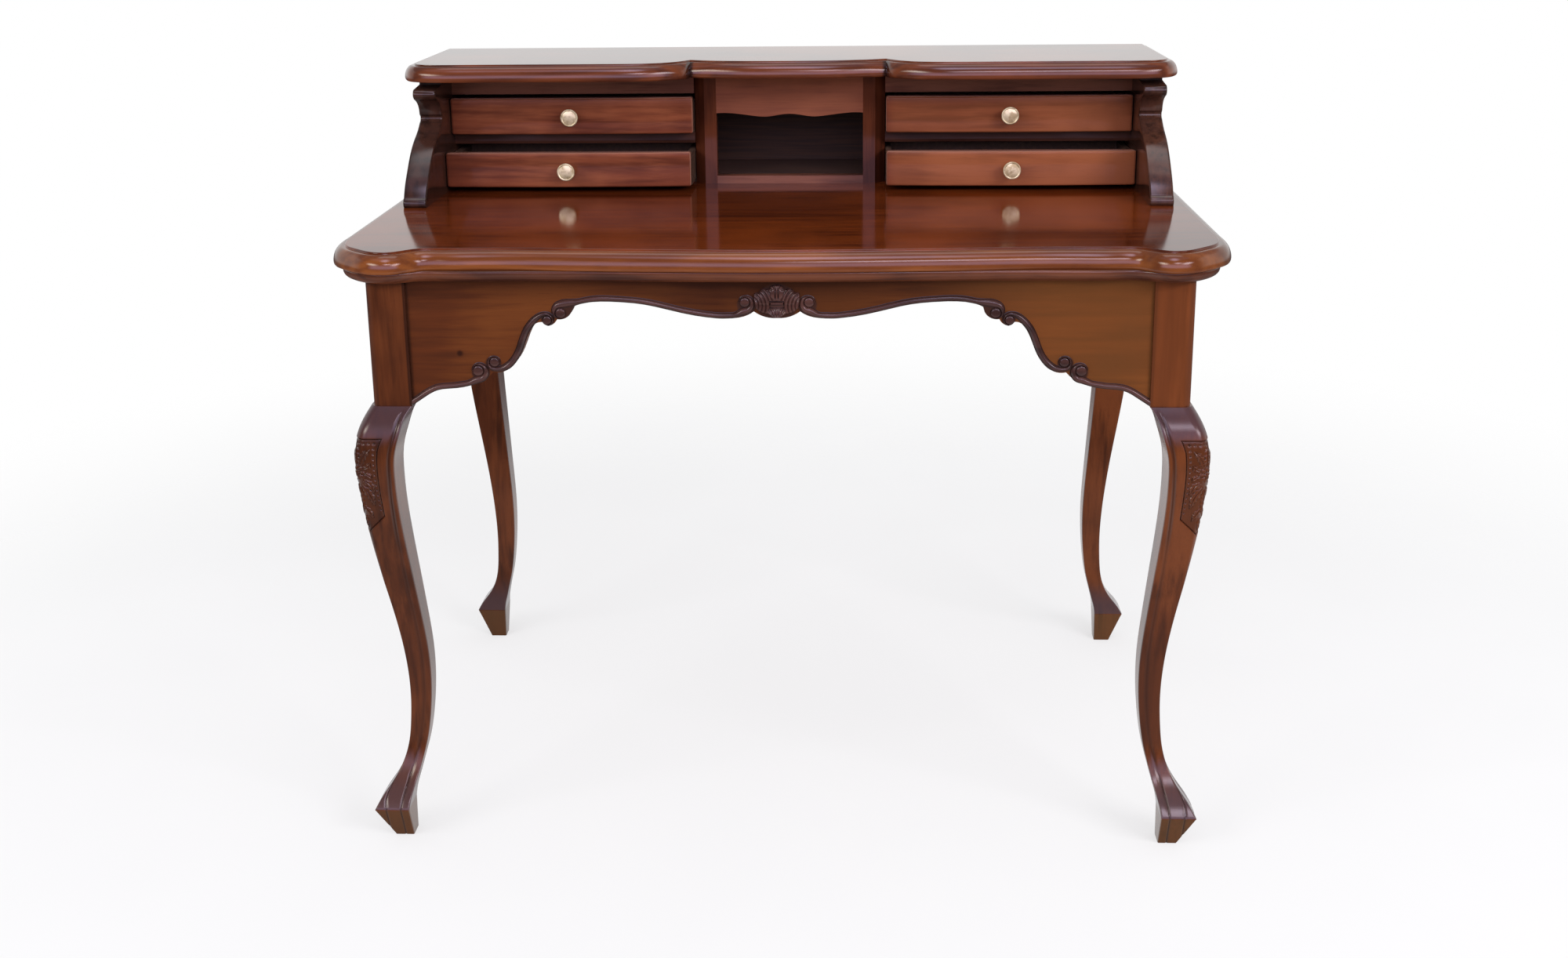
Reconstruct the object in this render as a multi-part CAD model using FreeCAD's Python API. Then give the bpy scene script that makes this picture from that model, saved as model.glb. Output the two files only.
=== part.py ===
import FreeCAD, Part
import math
import os

# Bonheur du jour: a small writing desk on cabriole legs, with a drawered superstructure.
# Millimetres. X is to the right, Y to the back, Z up. While it is built, y = 0 is the front
# face of the front posts; centre_in_depth then moves the whole desk so that the middle of its
# depth is y = 0.

V = FreeCAD.Vector

# Desk frame
WRITING_HEIGHT = 765.0      # floor to writing surface
TOP_THICK = 24.0
FRAME_HALF_WIDTH = 490.0    # middle of the desk to the outer face of a post
FRAME_DEPTH = 616.0         # front face of the front posts to rear face of the rear posts
POST = 49.5                 # side of the square post
POST_ROUND = 14.0           # rounding of its outer corner
APRON_THICK = 22.0
APRON_SETBACK = 4.0         # apron face behind the post face
FRONT_APRON_DEPTH = 168.0   # at the posts, from the frame's top edge down; the knee starts here
SIDE_APRON_DEPTH = 150.0
REAR_APRON_DEPTH = 110.0
TENON_THICK = 10.0
TENON_LENGTH = 22.0
TENON_SHOULDER_TOP = 12.0
TENON_SHOULDER_LOW = 24.0
GLUE_FIT = 0.1              # room for glue round a tenon or in a groove

# Cabriole leg: share of the knee height, reach beyond the post's outer face, and how much
# thicker than the post it is
LEG_CURVE = [
    (1.0, 2.0, 2.0),
    (0.985, 7.5, 1.5),
    (0.95, 17.0, 3.5),
    (0.905, 21.8, 1.5),
    (0.853, 21.6, -0.7),
    (0.8, 18.7, -3.1),
    (0.72, 12.6, -6.3),
    (0.6, 0.8, -12.0),
    (0.515, -7.4, -15.9),
    (0.41, -14.9, -19.4),
    (0.31, -16.9, -23.0),
    (0.26, -15.4, -24.5),
    (0.216, -12.6, -25.9),
    (0.171, -5.6, -25.5),
    (0.132, 6.4, -19.7),
    (0.098, 20.4, -10.9),
    (0.078, 27.0, -6.0),
]
FOOT_BASE_REACH = 7.5       # beyond the post's outer face, at the floor
FOOT_BASE = 23.5            # side of the foot's square base
LEG_ARRIS = 1.5             # rounding of the other edges of a leg
KNEE_ROUND_FULL = 0.85      # share of the knee height down to which the corner is fully rounded
KNEE_ROUND_END = 0.60       # share where the rounded corner has died out

# Front apron: lower edge as runs, each with whether it carries the raised bead and its points
# as (share of the half span, share of the apron depth)
APRON_RUNS = [
    (False, [(0.0, 0.358), (0.034, 0.348), (0.062, 0.31)]),
    (True, [(0.062, 0.31), (0.084, 0.342), (0.12, 0.360), (0.186, 0.354), (0.268, 0.314),
            (0.353, 0.262), (0.431, 0.241), (0.494, 0.241), (0.53, 0.257), (0.551, 0.28)]),
    (False, [(0.551, 0.28), (0.557, 0.33), (0.573, 0.361), (0.593, 0.366)]),
    (False, [(0.593, 0.366), (0.601, 0.395), (0.614, 0.412), (0.633, 0.387)]),
    (True, [(0.633, 0.387), (0.652, 0.399), (0.665, 0.44), (0.683, 0.545), (0.709, 0.679),
            (0.742, 0.747), (0.774, 0.753)]),
    (True, [(0.774, 0.753), (0.80, 0.812), (0.838, 0.854), (0.883, 0.875), (0.93, 0.89),
            (0.969, 0.946), (1.0, 1.0)]),
]
CURLS = [                   # scroll ends: share of half span, share of depth, radius by half span
    (0.082, 0.248, 0.0216),
    (0.587, 0.314, 0.0195),
    (0.617, 0.367, 0.0191),
    (0.775, 0.693, 0.0236),
    (0.817, 0.75, 0.0218),
]
BEAD_WIDTH = 7.0
BEAD_PROUD = 3.5
SHELL_PROUD = 6.0
SHELL_CROWN = [(-9.0, 33.0), (0.0, 39.0), (9.0, 33.0)]   # middle lobe, above the shell's foot
SHELL_RIM = [               # right half of the rest of its outline, in arcs of three points
    [(9.0, 33.0), (17.0, 32.5), (20.5, 25.5)],
    [(20.5, 25.5), (25.0, 20.5), (23.0, 13.5)],
    [(23.0, 13.5), (13.5, 3.8), (0.0, 0.0)],
]
SHELL_HALF_WIDTH = 25.3
SHELL_FOOT = 1.0            # shell foot above the lowest point of the apron's middle
SHELL_BEAD_GAP = 1.0        # between the shell and the end of the bead
SIDE_ARCH = [(0.0, 0.62), (0.3, 0.635), (0.55, 0.70), (0.75, 0.82), (0.9, 0.90), (1.0, 1.0)]

# Writing top: plan of the flat field's front line
TOP_MID = [                 # share of the clear half span, reach in front of the post face
    (0.0, 7.0), (0.33, 1.5), (0.545, -4.0), (0.705, -8.5), (0.806, -8.5), (0.888, -8.0),
]
TOP_LOBE = [                # beyond the post's outer face, reach in front of the post face
    (-65.0, -4.5), (-45.0, 12.0), (-32.0, 17.0), (-18.0, 14.5), (3.0, -2.0), (21.0, -21.0),
]
TOP_SIDE = 32.0             # flat field beyond the post's side face
TOP_REAR = 4.0              # top beyond the rear posts
TOP_SIDE_START = 58.0       # where the rounded corner runs into the straight side
SIDE_LEAD = 35.0            # first length of the straight side, which holds the curve's direction
EDGE_PROFILE = [            # ovolo edge: share of its projection, share of its height
    (0.0, 0.0), (0.02, 0.07), (0.30, 0.10), (0.62, 0.22), (0.85, 0.42), (0.97, 0.65),
    (1.0, 0.80), (0.90, 1.0),
]
TOP_EDGE = 15.0             # projection of the writing top's ovolo

# Moulding under the writing top
MOULD_MID = [(0.0, 8.0), (0.33, 4.5), (0.705, 2.0), (0.888, 2.0)]
MOULD_LOBE = [(-64.0, 3.0), (-45.0, 12.0), (-32.0, 15.5), (-17.0, 13.0), (3.0, 1.0), (17.0, -16.0)]
MOULD_SIDE = 23.0
MOULD_SIDE_START = 50.0
MOULD_HEIGHT = 14.0
MOULD_EDGE = 9.0
MOULD_PROFILE = [(0.75, 0.0), (1.0, 0.18), (0.93, 0.45), (0.68, 0.72), (0.25, 0.92), (0.0, 1.0)]

# Superstructure
HUTCH_HEIGHT = 178.0        # writing surface to the top board's upper face
HUTCH_BOARD = 22.5
HUTCH_DEPTH = 157.0         # of the carcase
HUTCH_REAR_SETBACK = 4.0    # its back in front of the rear posts' face
END_BEYOND = 17.0           # end panel's outer face beyond the posts' outer face
END_THICK = 31.0
HUTCH_EDGE = 14.0           # projection of the top board's ovolo
# Top board's front line, with its reach in front of the carcase. The cusp and the middle are
# measured from the middle of the desk, a wing in shares of the way from cusp to end panel.
HUTCH_CUSP = (134.0, 38.0)
HUTCH_MID = [(0.0, 61.0), (70.0, 57.0), (112.0, 47.0)]
HUTCH_WING = [(0.0322, 56.0), (0.0831, 74.0), (0.1635, 85.0), (0.2842, 88.0), (0.5523, 87.0),
              (0.8204, 87.0), (0.933, 85.0), (0.9893, 76.0)]
HUTCH_SIDE = 6.0            # flat field beyond the end panel's outer face
HUTCH_SIDE_START = 55.0     # in front of the carcase, where the side edge becomes straight
CUSP_SPREAD = 1.25          # how much faster the edge grows at a mitred cusp
END_SCROLL = [              # end panel's front edge: reach before the carcase, share of its height
    [(187.0, 0.0), (187.0, 0.0707)],
    [(187.0, 0.0707), (182.0, 0.0836)],
    [(182.0, 0.0836), (174.0, 0.1608), (157.0, 0.2765), (136.0, 0.3987), (108.0, 0.508),
     (84.0, 0.5788), (72.0, 0.6302)],
    [(72.0, 0.6302), (68.0, 0.6431), (66.0, 0.6752), (70.0, 0.701)],
    [(70.0, 0.701), (72.0, 0.7524), (82.0, 0.8167), (96.0, 0.8553)],
    [(96.0, 0.8553), (100.0, 0.8875), (98.0, 0.926), (90.0, 0.9389)],
    [(90.0, 0.9389), (60.0, 0.9582)],
    [(60.0, 0.9582), (60.0, 1.0)],
]
BACK_THICK = 8.0
BASE_THICK = 6.0
PARTITION_THICK = 14.0
PARTITION_OUTER = 134.0
LOWER_OPENING = 52.0
SHELF_THICK = 15.0
UPPER_OPENING = 55.0
SHELF_SETBACK = 3.0
CORNICE_THICK = 20.0
HOLE_HALF_WIDTH = 103.0     # half the pigeonhole's opening
HOLE_FRAME_THICK = 18.0
STILE_CANT = 14.0           # canted outer corner of a stile
FLOOR_THICK = 5.0
VALANCE_THICK = 15.0
VALANCE_LINE = [(0.0, 57.0), (0.15, 58.5), (0.30, 60.8), (0.50, 59.5), (0.75, 56.2), (1.0, 55.8)]

# Drawers
DRAWER_SIDE_GAP = 1.0
DRAWER_RUN_GAP = 0.4        # drawer box above what it runs on
FRONT_FOOT_GAP = 1.0
FRONT_HEAD_GAP = 3.5
FRONT_THICK = 18.0
FRONT_BOW = 5.0
DRAWER_REAR_GAP = 11.0      # closed drawer to the back panel
DRAWER_WOOD = 8.0
DRAWER_SIDE_DROP = 6.0      # sides and back lower than the front
BOTTOM_THICK = 4.0
BOTTOM_HEIGHT = 5.0         # groove above the lower edge
GROOVE_DEPTH = 4.0
UPPER_AJAR = 20.0           # how far the upper drawers stand open at rest
LOWER_AJAR = 66.0
KNOB_PROFILE = [            # radius, distance from the knob's foot
    (7.0, 0.0), (7.0, 2.5), (4.5, 5.0), (4.5, 11.0), (12.2, 14.3), (12.2, 15.5), (9.8, 17.0),
]
KNOB_GAP = 0.05             # between knob foot and drawer front
SCREW_RADIUS = 2.0
SCREW_FIT = 0.05
SCREW_HEAD = 4.0
SCREW_HEAD_THICK = 2.4
KNOB_THREAD = 9.0

# Glue blocks and screws
BLOCK = 30.0
BLOCK_HEIGHT = 40.0
TOP_SCREW_BITE = 15.0
HUTCH_SCREW_BITE = 14.0
HUTCH_SCREW_INSET = 50.0    # behind the carcase front
HUTCH_SCREW_SPACING = 60.0

FRAME_TOP = WRITING_HEIGHT - TOP_THICK
KNEE_Z = FRAME_TOP - FRONT_APRON_DEPTH
CLEAR_HALF_SPAN = FRAME_HALF_WIDTH - POST
HUTCH_TOP_Z = WRITING_HEIGHT + HUTCH_HEIGHT
BOARD_Z = HUTCH_TOP_Z - HUTCH_BOARD
HUTCH_REAR = FRAME_DEPTH - HUTCH_REAR_SETBACK
HUTCH_FRONT = HUTCH_REAR - HUTCH_DEPTH      # carcase front behind the front posts' face
END_OUTER = FRAME_HALF_WIDTH + END_BEYOND   # middle of the desk to the outer face of an end panel
END_INNER = END_OUTER - END_THICK
BAY_MIDDLE = (PARTITION_OUTER + END_INNER) / 2
BACK_Y = HUTCH_REAR - BACK_THICK
LOWER_Z = WRITING_HEIGHT + BASE_THICK
SHELF_Z = LOWER_Z + LOWER_OPENING
UPPER_Z = SHELF_Z + SHELF_THICK
CORNICE_Z = UPPER_Z + UPPER_OPENING

parts = {}


def box(x0, x1, y0, y1, z0, z1):
    return Part.makeBox(x1 - x0, y1 - y0, z1 - z0, V(x0, y0, z0))


def rod(radius, start, length, direction):
    return Part.makeCylinder(radius, length, start, direction)


def mirror_x(shape):
    return shape.mirror(V(0, 0, 0), V(1, 0, 0))


def mirror_depth(shape):
    return shape.mirror(V(0, FRAME_DEPTH / 2, 0), V(0, 1, 0))


def edge_through(points):
    # A straight edge through two points, or a smooth one through more.
    if len(points) == 2:
        return Part.makeLine(points[0], points[1])
    curve = Part.BSplineCurve()
    curve.interpolate(points)
    return curve.toShape()


def solid_from(edges, along):
    wire = Part.Wire(Part.__sortEdges__(edges))
    return Part.Face(wire).extrude(along)


def shifted(points, distance):
    # Plan points moved outwards (towards -y on a front line that runs in +x).
    moved = []
    last = len(points) - 1
    for i, (x, y) in enumerate(points):
        x0, y0 = points[max(i - 1, 0)]
        x1, y1 = points[min(i + 1, last)]
        length = math.hypot(x1 - x0, y1 - y0)
        moved.append((x + distance * (y1 - y0) / length, y - distance * (x1 - x0) / length))
    return moved


# ---- legs ----

def rounded_square(low, high, height, corner_round):
    # Square section of the front right leg; the corner at (high, high) points outwards.
    corners = [(low, low), (high, low), (high, high), (low, high)]
    radii = [LEG_ARRIS, LEG_ARRIS, corner_round, LEG_ARRIS]
    edges = []
    tips = []
    for i, (u, w) in enumerate(corners):
        before = corners[i - 1]
        after = corners[(i + 1) % 4]
        side = high - low
        to_before = ((before[0] - u) / side, (before[1] - w) / side)
        to_after = ((after[0] - u) / side, (after[1] - w) / side)
        r = radii[i]
        bulge = r * (1 - math.sqrt(0.5))
        start = (u + r * to_before[0], w + r * to_before[1])
        middle = (u + bulge * (to_before[0] + to_after[0]), w + bulge * (to_before[1] + to_after[1]))
        end = (u + r * to_after[0], w + r * to_after[1])
        tips.append([V(FRAME_HALF_WIDTH + p[0], -p[1], height) for p in (start, middle, end)])
    for i, (start, middle, end) in enumerate(tips):
        edges.append(Part.Arc(start, middle, end).toShape())
        edges.append(Part.makeLine(end, tips[(i + 1) % 4][0]))
    return Part.Wire(edges)


def leg_body():
    sections = []
    for share, reach, extra in LEG_CURVE:
        rise = (share - KNEE_ROUND_END) / (KNEE_ROUND_FULL - KNEE_ROUND_END)
        corner = LEG_ARRIS + (POST_ROUND - LEG_ARRIS) * min(1.0, max(0.0, rise))
        sections.append(rounded_square(reach - (POST + extra), reach, share * KNEE_Z, corner))
    cabriole = Part.makeLoft(sections, True, False)
    base = rounded_square(FOOT_BASE_REACH - FOOT_BASE, FOOT_BASE_REACH, 0.0, LEG_ARRIS)
    foot = Part.makeLoft([sections[-1], base], True, True)
    post_face = Part.Face(rounded_square(-POST, 0.0, KNEE_Z, POST_ROUND))
    post = post_face.extrude(V(0, 0, FRAME_TOP - KNEE_Z))
    return post.fuse([cabriole, foot]).removeSplitter()


def tenon_z(depth):
    return FRAME_TOP - depth + TENON_SHOULDER_LOW, FRAME_TOP - TENON_SHOULDER_TOP


def front_tenon(depth, room):
    # Tenon of the front apron into the front right post, grown by room for its mortise.
    z0, z1 = tenon_z(depth)
    y0 = APRON_SETBACK + (APRON_THICK - TENON_THICK) / 2
    return box(CLEAR_HALF_SPAN, CLEAR_HALF_SPAN + TENON_LENGTH + room,
               y0 - room, y0 + TENON_THICK + room, z0 - room, z1 + room)


def side_tenon(room):
    # Tenon of the right apron into the front right post.
    z0, z1 = tenon_z(SIDE_APRON_DEPTH)
    x1 = FRAME_HALF_WIDTH - APRON_SETBACK - (APRON_THICK - TENON_THICK) / 2
    return box(x1 - TENON_THICK - room, x1 + room, POST - TENON_LENGTH - room, POST,
               z0 - room, z1 + room)


def make_legs():
    body = leg_body()
    front = body.cut([front_tenon(FRONT_APRON_DEPTH, GLUE_FIT), side_tenon(GLUE_FIT)])
    rear = mirror_depth(body.cut([front_tenon(REAR_APRON_DEPTH, GLUE_FIT), side_tenon(GLUE_FIT)]))
    parts["leg_front_right"] = front
    parts["leg_front_left"] = mirror_x(front)
    parts["leg_rear_right"] = rear
    parts["leg_rear_left"] = mirror_x(rear)


# ---- aprons and their carving ----

def apron_point(share_x, share_z):
    return CLEAR_HALF_SPAN * share_x, FRAME_TOP - FRONT_APRON_DEPTH * share_z


def make_front_apron():
    y = APRON_SETBACK
    edges = []
    for _, run in APRON_RUNS:
        right = [V(x, y, z) for x, z in [apron_point(*p) for p in run]]
        edges.append(edge_through(right))
        edges.append(edge_through([V(-p.x, p.y, p.z) for p in right]))
    low = FRAME_TOP - FRONT_APRON_DEPTH
    for side in (-1, 1):
        x = side * CLEAR_HALF_SPAN
        edges.append(Part.makeLine(V(x, y, low), V(x, y, FRAME_TOP)))
    edges.append(Part.makeLine(V(-CLEAR_HALF_SPAN, y, FRAME_TOP), V(CLEAR_HALF_SPAN, y, FRAME_TOP)))
    board = solid_from(edges, V(0, APRON_THICK, 0))
    tenon = front_tenon(FRONT_APRON_DEPTH, 0.0)
    parts["apron_front"] = board.fuse([tenon, mirror_x(tenon)]).removeSplitter()


def make_rear_apron():
    x = CLEAR_HALF_SPAN
    board = box(-x, x, APRON_SETBACK, APRON_SETBACK + APRON_THICK,
                FRAME_TOP - REAR_APRON_DEPTH, FRAME_TOP)
    tenon = front_tenon(REAR_APRON_DEPTH, 0.0)
    whole = board.fuse([tenon, mirror_x(tenon)]).removeSplitter()
    parts["apron_rear"] = mirror_depth(whole)


def make_side_aprons():
    middle = FRAME_DEPTH / 2
    half = middle - POST
    x = FRAME_HALF_WIDTH - APRON_SETBACK
    low = FRAME_TOP - SIDE_APRON_DEPTH
    arch = [V(x, middle - half * s, FRAME_TOP - SIDE_APRON_DEPTH * d) for s, d in SIDE_ARCH]
    whole_arch = arch[::-1] + [V(x, 2 * middle - p.y, p.z) for p in arch[1:]]
    edges = [edge_through(whole_arch)]
    for y in (POST, FRAME_DEPTH - POST):
        edges.append(Part.makeLine(V(x, y, low), V(x, y, FRAME_TOP)))
    edges.append(Part.makeLine(V(x, POST, FRAME_TOP), V(x, FRAME_DEPTH - POST, FRAME_TOP)))
    board = solid_from(edges, V(-APRON_THICK, 0, 0))
    tenon = side_tenon(0.0)
    right = board.fuse([tenon, mirror_depth(tenon)]).removeSplitter()
    parts["apron_right"] = right
    parts["apron_left"] = mirror_x(right)


def bead_strip(outer):
    # Ribbon along the lower edge, between the edge and a line one bead width inside it.
    y = APRON_SETBACK
    inner = shifted(outer, -BEAD_WIDTH)
    outer_edge = edge_through([V(x, y, z) for x, z in outer])
    inner_edge = edge_through([V(x, y, z) for x, z in inner])
    ends = [Part.makeLine(V(outer[i][0], y, outer[i][1]), V(inner[i][0], y, inner[i][1]))
            for i in (0, -1)]
    return solid_from([outer_edge, inner_edge] + ends, V(0, -BEAD_PROUD, 0))


def make_beads():
    solids = [bead_strip([apron_point(*p) for p in run]) for beaded, run in APRON_RUNS if beaded]
    for share_x, share_z, share_radius in CURLS:
        x, z = apron_point(share_x, share_z)
        radius = CLEAR_HALF_SPAN * share_radius
        solids.append(rod(radius, V(x, APRON_SETBACK, z), BEAD_PROUD, V(0, -1, 0)))
    bead = solids[0].fuse(solids[1:]).removeSplitter()
    inside = box(SHELL_HALF_WIDTH + SHELL_BEAD_GAP, CLEAR_HALF_SPAN, -BEAD_PROUD, APRON_SETBACK,
                 KNEE_Z, FRAME_TOP - MOULD_HEIGHT)
    bead = bead.common(inside)
    parts["bead_right"] = bead
    parts["bead_left"] = mirror_x(bead)


def make_shell():
    middle_run = APRON_RUNS[0][1]
    foot_z = apron_point(*middle_run[0])[1] + SHELL_FOOT
    edges = []
    for run in [SHELL_CROWN] + SHELL_RIM:
        points = [V(x, APRON_SETBACK, foot_z + up) for x, up in run]
        edges.append(Part.Arc(*points).toShape())
        if run is not SHELL_CROWN:
            edges.append(Part.Arc(*[V(-p.x, p.y, p.z) for p in points]).toShape())
    parts["apron_shell"] = solid_from(edges, V(0, -SHELL_PROUD, 0))


# ---- writing top and the moulding under it ----

def front_line(mid, lobe, side, side_start):
    # Plan of a front edge, from the left side to the right one, as (x, y).
    right = [(CLEAR_HALF_SPAN * share, -reach) for share, reach in mid]
    right += [(FRAME_HALF_WIDTH + beyond, -reach) for beyond, reach in lobe]
    right += [(FRAME_HALF_WIDTH + side, side_start), (FRAME_HALF_WIDTH + side, side_start + SIDE_LEAD)]
    return [(-x, y) for x, y in right[:0:-1]] + right


def slab_wire(line, grow, rear, height):
    points = [V(x, y, height) for x, y in shifted(line, grow)]
    half = points[-1].x
    front = edge_through(points)
    return Part.Wire([
        front,
        Part.makeLine(points[-1], V(half, rear, height)),
        Part.makeLine(V(half, rear, height), V(-half, rear, height)),
        Part.makeLine(V(-half, rear, height), points[0]),
    ])


def moulded_slab(line, profile, edge, upper, thick, rear):
    wires = [slab_wire(line, edge * out, rear, upper - thick * down) for out, down in profile]
    return Part.makeLoft(wires, True, True)


def make_writing_top():
    line = front_line(TOP_MID, TOP_LOBE, TOP_SIDE, TOP_SIDE_START)
    top = moulded_slab(line, EDGE_PROFILE, TOP_EDGE, WRITING_HEIGHT, TOP_THICK,
                       FRAME_DEPTH + TOP_REAR)
    holes = [screw_hole(*s) for s in top_screws() + hutch_screws()]
    parts["writing_top"] = top.cut(holes)


def make_under_mouldings():
    line = front_line(MOULD_MID, MOULD_LOBE, MOULD_SIDE, MOULD_SIDE_START)
    slab = moulded_slab(line, MOULD_PROFILE, MOULD_EDGE, FRAME_TOP, MOULD_HEIGHT, FRAME_DEPTH)
    w = FRAME_HALF_WIDTH
    z0 = FRAME_TOP - MOULD_HEIGHT
    frame = box(-w, w, 0.0, FRAME_DEPTH, z0, FRAME_TOP)
    corner = rounded_square(-POST, 0.0, z0, POST_ROUND)
    post = Part.Face(corner).extrude(V(0, 0, MOULD_HEIGHT))
    nook = box(w - POST_ROUND, w, 0.0, POST_ROUND, z0, FRAME_TOP).cut(post)
    ring = slab.cut(frame).fuse([nook, mirror_x(nook)]).removeSplitter()
    far = w + MOULD_SIDE + MOULD_EDGE
    reach = far - w
    wedge = Part.makePolygon([V(w - POST_ROUND, POST_ROUND, z0), V(far, -reach, z0),
                              V(-far, -reach, z0), V(POST_ROUND - w, POST_ROUND, z0),
                              V(w - POST_ROUND, POST_ROUND, z0)])
    front_zone = Part.Face(wedge).extrude(V(0, 0, MOULD_HEIGHT))
    filler = box(-CLEAR_HALF_SPAN, CLEAR_HALF_SPAN, 0.0, APRON_SETBACK, z0, FRAME_TOP)
    parts["moulding_front"] = ring.common(front_zone).fuse(filler).removeSplitter()
    sides = ring.cut(front_zone)
    side_fill = box(w - APRON_SETBACK, w, POST, FRAME_DEPTH - POST, z0, FRAME_TOP)
    right = sides.common(box(0, far, -reach, FRAME_DEPTH, z0, FRAME_TOP))
    right = right.fuse(side_fill).removeSplitter()
    parts["moulding_right"] = right
    parts["moulding_left"] = mirror_x(right)


# ---- screws and glue blocks ----

def screw(place, length, along):
    # Screw whose head bears on the surface at place; its shank runs along from there.
    shank = rod(SCREW_RADIUS, place, length, along)
    head = rod(SCREW_HEAD, place, SCREW_HEAD_THICK, along * -1)
    return head.fuse(shank).removeSplitter()


def screw_hole(place, length, along):
    shank = rod(SCREW_RADIUS + SCREW_FIT, place, length + SCREW_FIT, along)
    head = rod(SCREW_HEAD + SCREW_FIT, place, SCREW_HEAD_THICK, along * -1)
    return head.fuse(shank)


def block_corners():
    inner_y = APRON_SETBACK + APRON_THICK
    corners = []
    for side in (-1, 1):
        x0, x1 = sorted((side * CLEAR_HALF_SPAN, side * (CLEAR_HALF_SPAN - BLOCK)))
        corners.append((x0, x1, inner_y, inner_y + BLOCK))
        corners.append((x0, x1, FRAME_DEPTH - inner_y - BLOCK, FRAME_DEPTH - inner_y))
    return corners


def top_screws():
    # Up through each glue block into the writing top.
    head_z = FRAME_TOP - BLOCK_HEIGHT
    length = BLOCK_HEIGHT + TOP_SCREW_BITE
    return [(V((x0 + x1) / 2, (y0 + y1) / 2, head_z), length, V(0, 0, 1))
            for x0, x1, y0, y1 in block_corners()]


def hutch_screws():
    # Down through the superstructure's base into the writing top, heads sunk flush.
    first = HUTCH_FRONT + HUTCH_SCREW_INSET
    head_z = LOWER_Z - SCREW_HEAD_THICK
    length = head_z - WRITING_HEIGHT + HUTCH_SCREW_BITE
    return [(V(side * BAY_MIDDLE, y, head_z), length, V(0, 0, -1))
            for side in (-1, 1) for y in (first, first + HUTCH_SCREW_SPACING)]


def make_fixings():
    z0 = FRAME_TOP - BLOCK_HEIGHT
    blocks = [box(*c, z0, FRAME_TOP) for c in block_corners()]
    holes = [screw_hole(*s) for s in top_screws()]
    parts["glue_blocks"] = Part.makeCompound([b.cut(holes) for b in blocks])
    parts["top_screws"] = Part.makeCompound([screw(*s) for s in top_screws()])
    parts["hutch_screws"] = Part.makeCompound([screw(*s) for s in hutch_screws()])


# ---- superstructure ----

def make_end_panels():
    x = END_INNER
    height = BOARD_Z - WRITING_HEIGHT
    edges = []
    for run in END_SCROLL:
        points = [V(x, HUTCH_FRONT - reach, WRITING_HEIGHT + share * height) for reach, share in run]
        edges.append(edge_through(points))
    foot = V(x, HUTCH_FRONT - END_SCROLL[0][0][0], WRITING_HEIGHT)
    head = V(x, HUTCH_FRONT - END_SCROLL[-1][-1][0], BOARD_Z)
    back_foot = V(x, HUTCH_REAR, WRITING_HEIGHT)
    back_head = V(x, HUTCH_REAR, BOARD_Z)
    edges += [Part.makeLine(foot, back_foot), Part.makeLine(back_foot, back_head),
              Part.makeLine(back_head, head)]
    panel = solid_from(edges, V(END_THICK, 0, 0))
    parts["end_panel_right"] = panel
    parts["end_panel_left"] = mirror_x(panel)


def hutch_board_wire(grow, height):
    def place(points):
        return [V(x, HUTCH_FRONT - reach, height) for x, reach in points]

    cusp_x, cusp_reach = HUTCH_CUSP
    half = HUTCH_MID + [HUTCH_CUSP]
    mid = shifted([(-x, -reach) for x, reach in half[:0:-1]] + [(x, -reach) for x, reach in half], grow)
    way = END_OUTER - cusp_x
    outline = [(cusp_x, -cusp_reach)] + [(cusp_x + way * share, -reach) for share, reach in HUTCH_WING]
    wing = shifted(outline, grow)
    cusp = (cusp_x, cusp_reach + CUSP_SPREAD * grow)
    side_x = END_OUTER + HUTCH_SIDE + grow
    middle = [(-cusp[0], cusp[1])] + [(x, -y) for x, y in mid[1:-1]] + [cusp]
    right = [cusp] + [(x, -y) for x, y in wing[1:]] + [(side_x, HUTCH_SIDE_START)]
    left = [(-x, reach) for x, reach in right[::-1]]
    rear = [V(side_x, HUTCH_REAR, height), V(-side_x, HUTCH_REAR, height)]
    return Part.Wire([
        edge_through(place(left)),
        edge_through(place(middle)),
        edge_through(place(right)),
        Part.makeLine(place(right)[-1], rear[0]),
        Part.makeLine(rear[0], rear[1]),
        Part.makeLine(rear[1], place(left)[0]),
    ])


def make_hutch_top():
    wires = [hutch_board_wire(HUTCH_EDGE * out, HUTCH_TOP_Z - HUTCH_BOARD * down)
             for out, down in EDGE_PROFILE]
    parts["hutch_top"] = Part.makeLoft(wires, True, True)


def make_carcase():
    parts["hutch_back"] = box(-END_INNER, END_INNER, BACK_Y, HUTCH_REAR, WRITING_HEIGHT, BOARD_Z)
    base_front = HUTCH_FRONT + HOLE_FRAME_THICK
    base = box(-END_INNER, END_INNER, base_front, BACK_Y, WRITING_HEIGHT, LOWER_Z)
    parts["hutch_base"] = base.cut([screw_hole(*s) for s in hutch_screws()])
    inner = PARTITION_OUTER - PARTITION_THICK
    partition = box(inner, PARTITION_OUTER, HUTCH_FRONT + HOLE_FRAME_THICK, BACK_Y, LOWER_Z, BOARD_Z)
    shelf = box(PARTITION_OUTER, END_INNER, HUTCH_FRONT + SHELF_SETBACK, BACK_Y, SHELF_Z, UPPER_Z)
    cornice = box(PARTITION_OUTER, END_INNER, HUTCH_FRONT, HUTCH_FRONT + CORNICE_THICK,
                  CORNICE_Z, BOARD_Z)
    for name, shape in (("partition", partition), ("drawer_shelf", shelf), ("cornice_rail", cornice)):
        parts[name + "_right"] = shape
        parts[name + "_left"] = mirror_x(shape)


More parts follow.
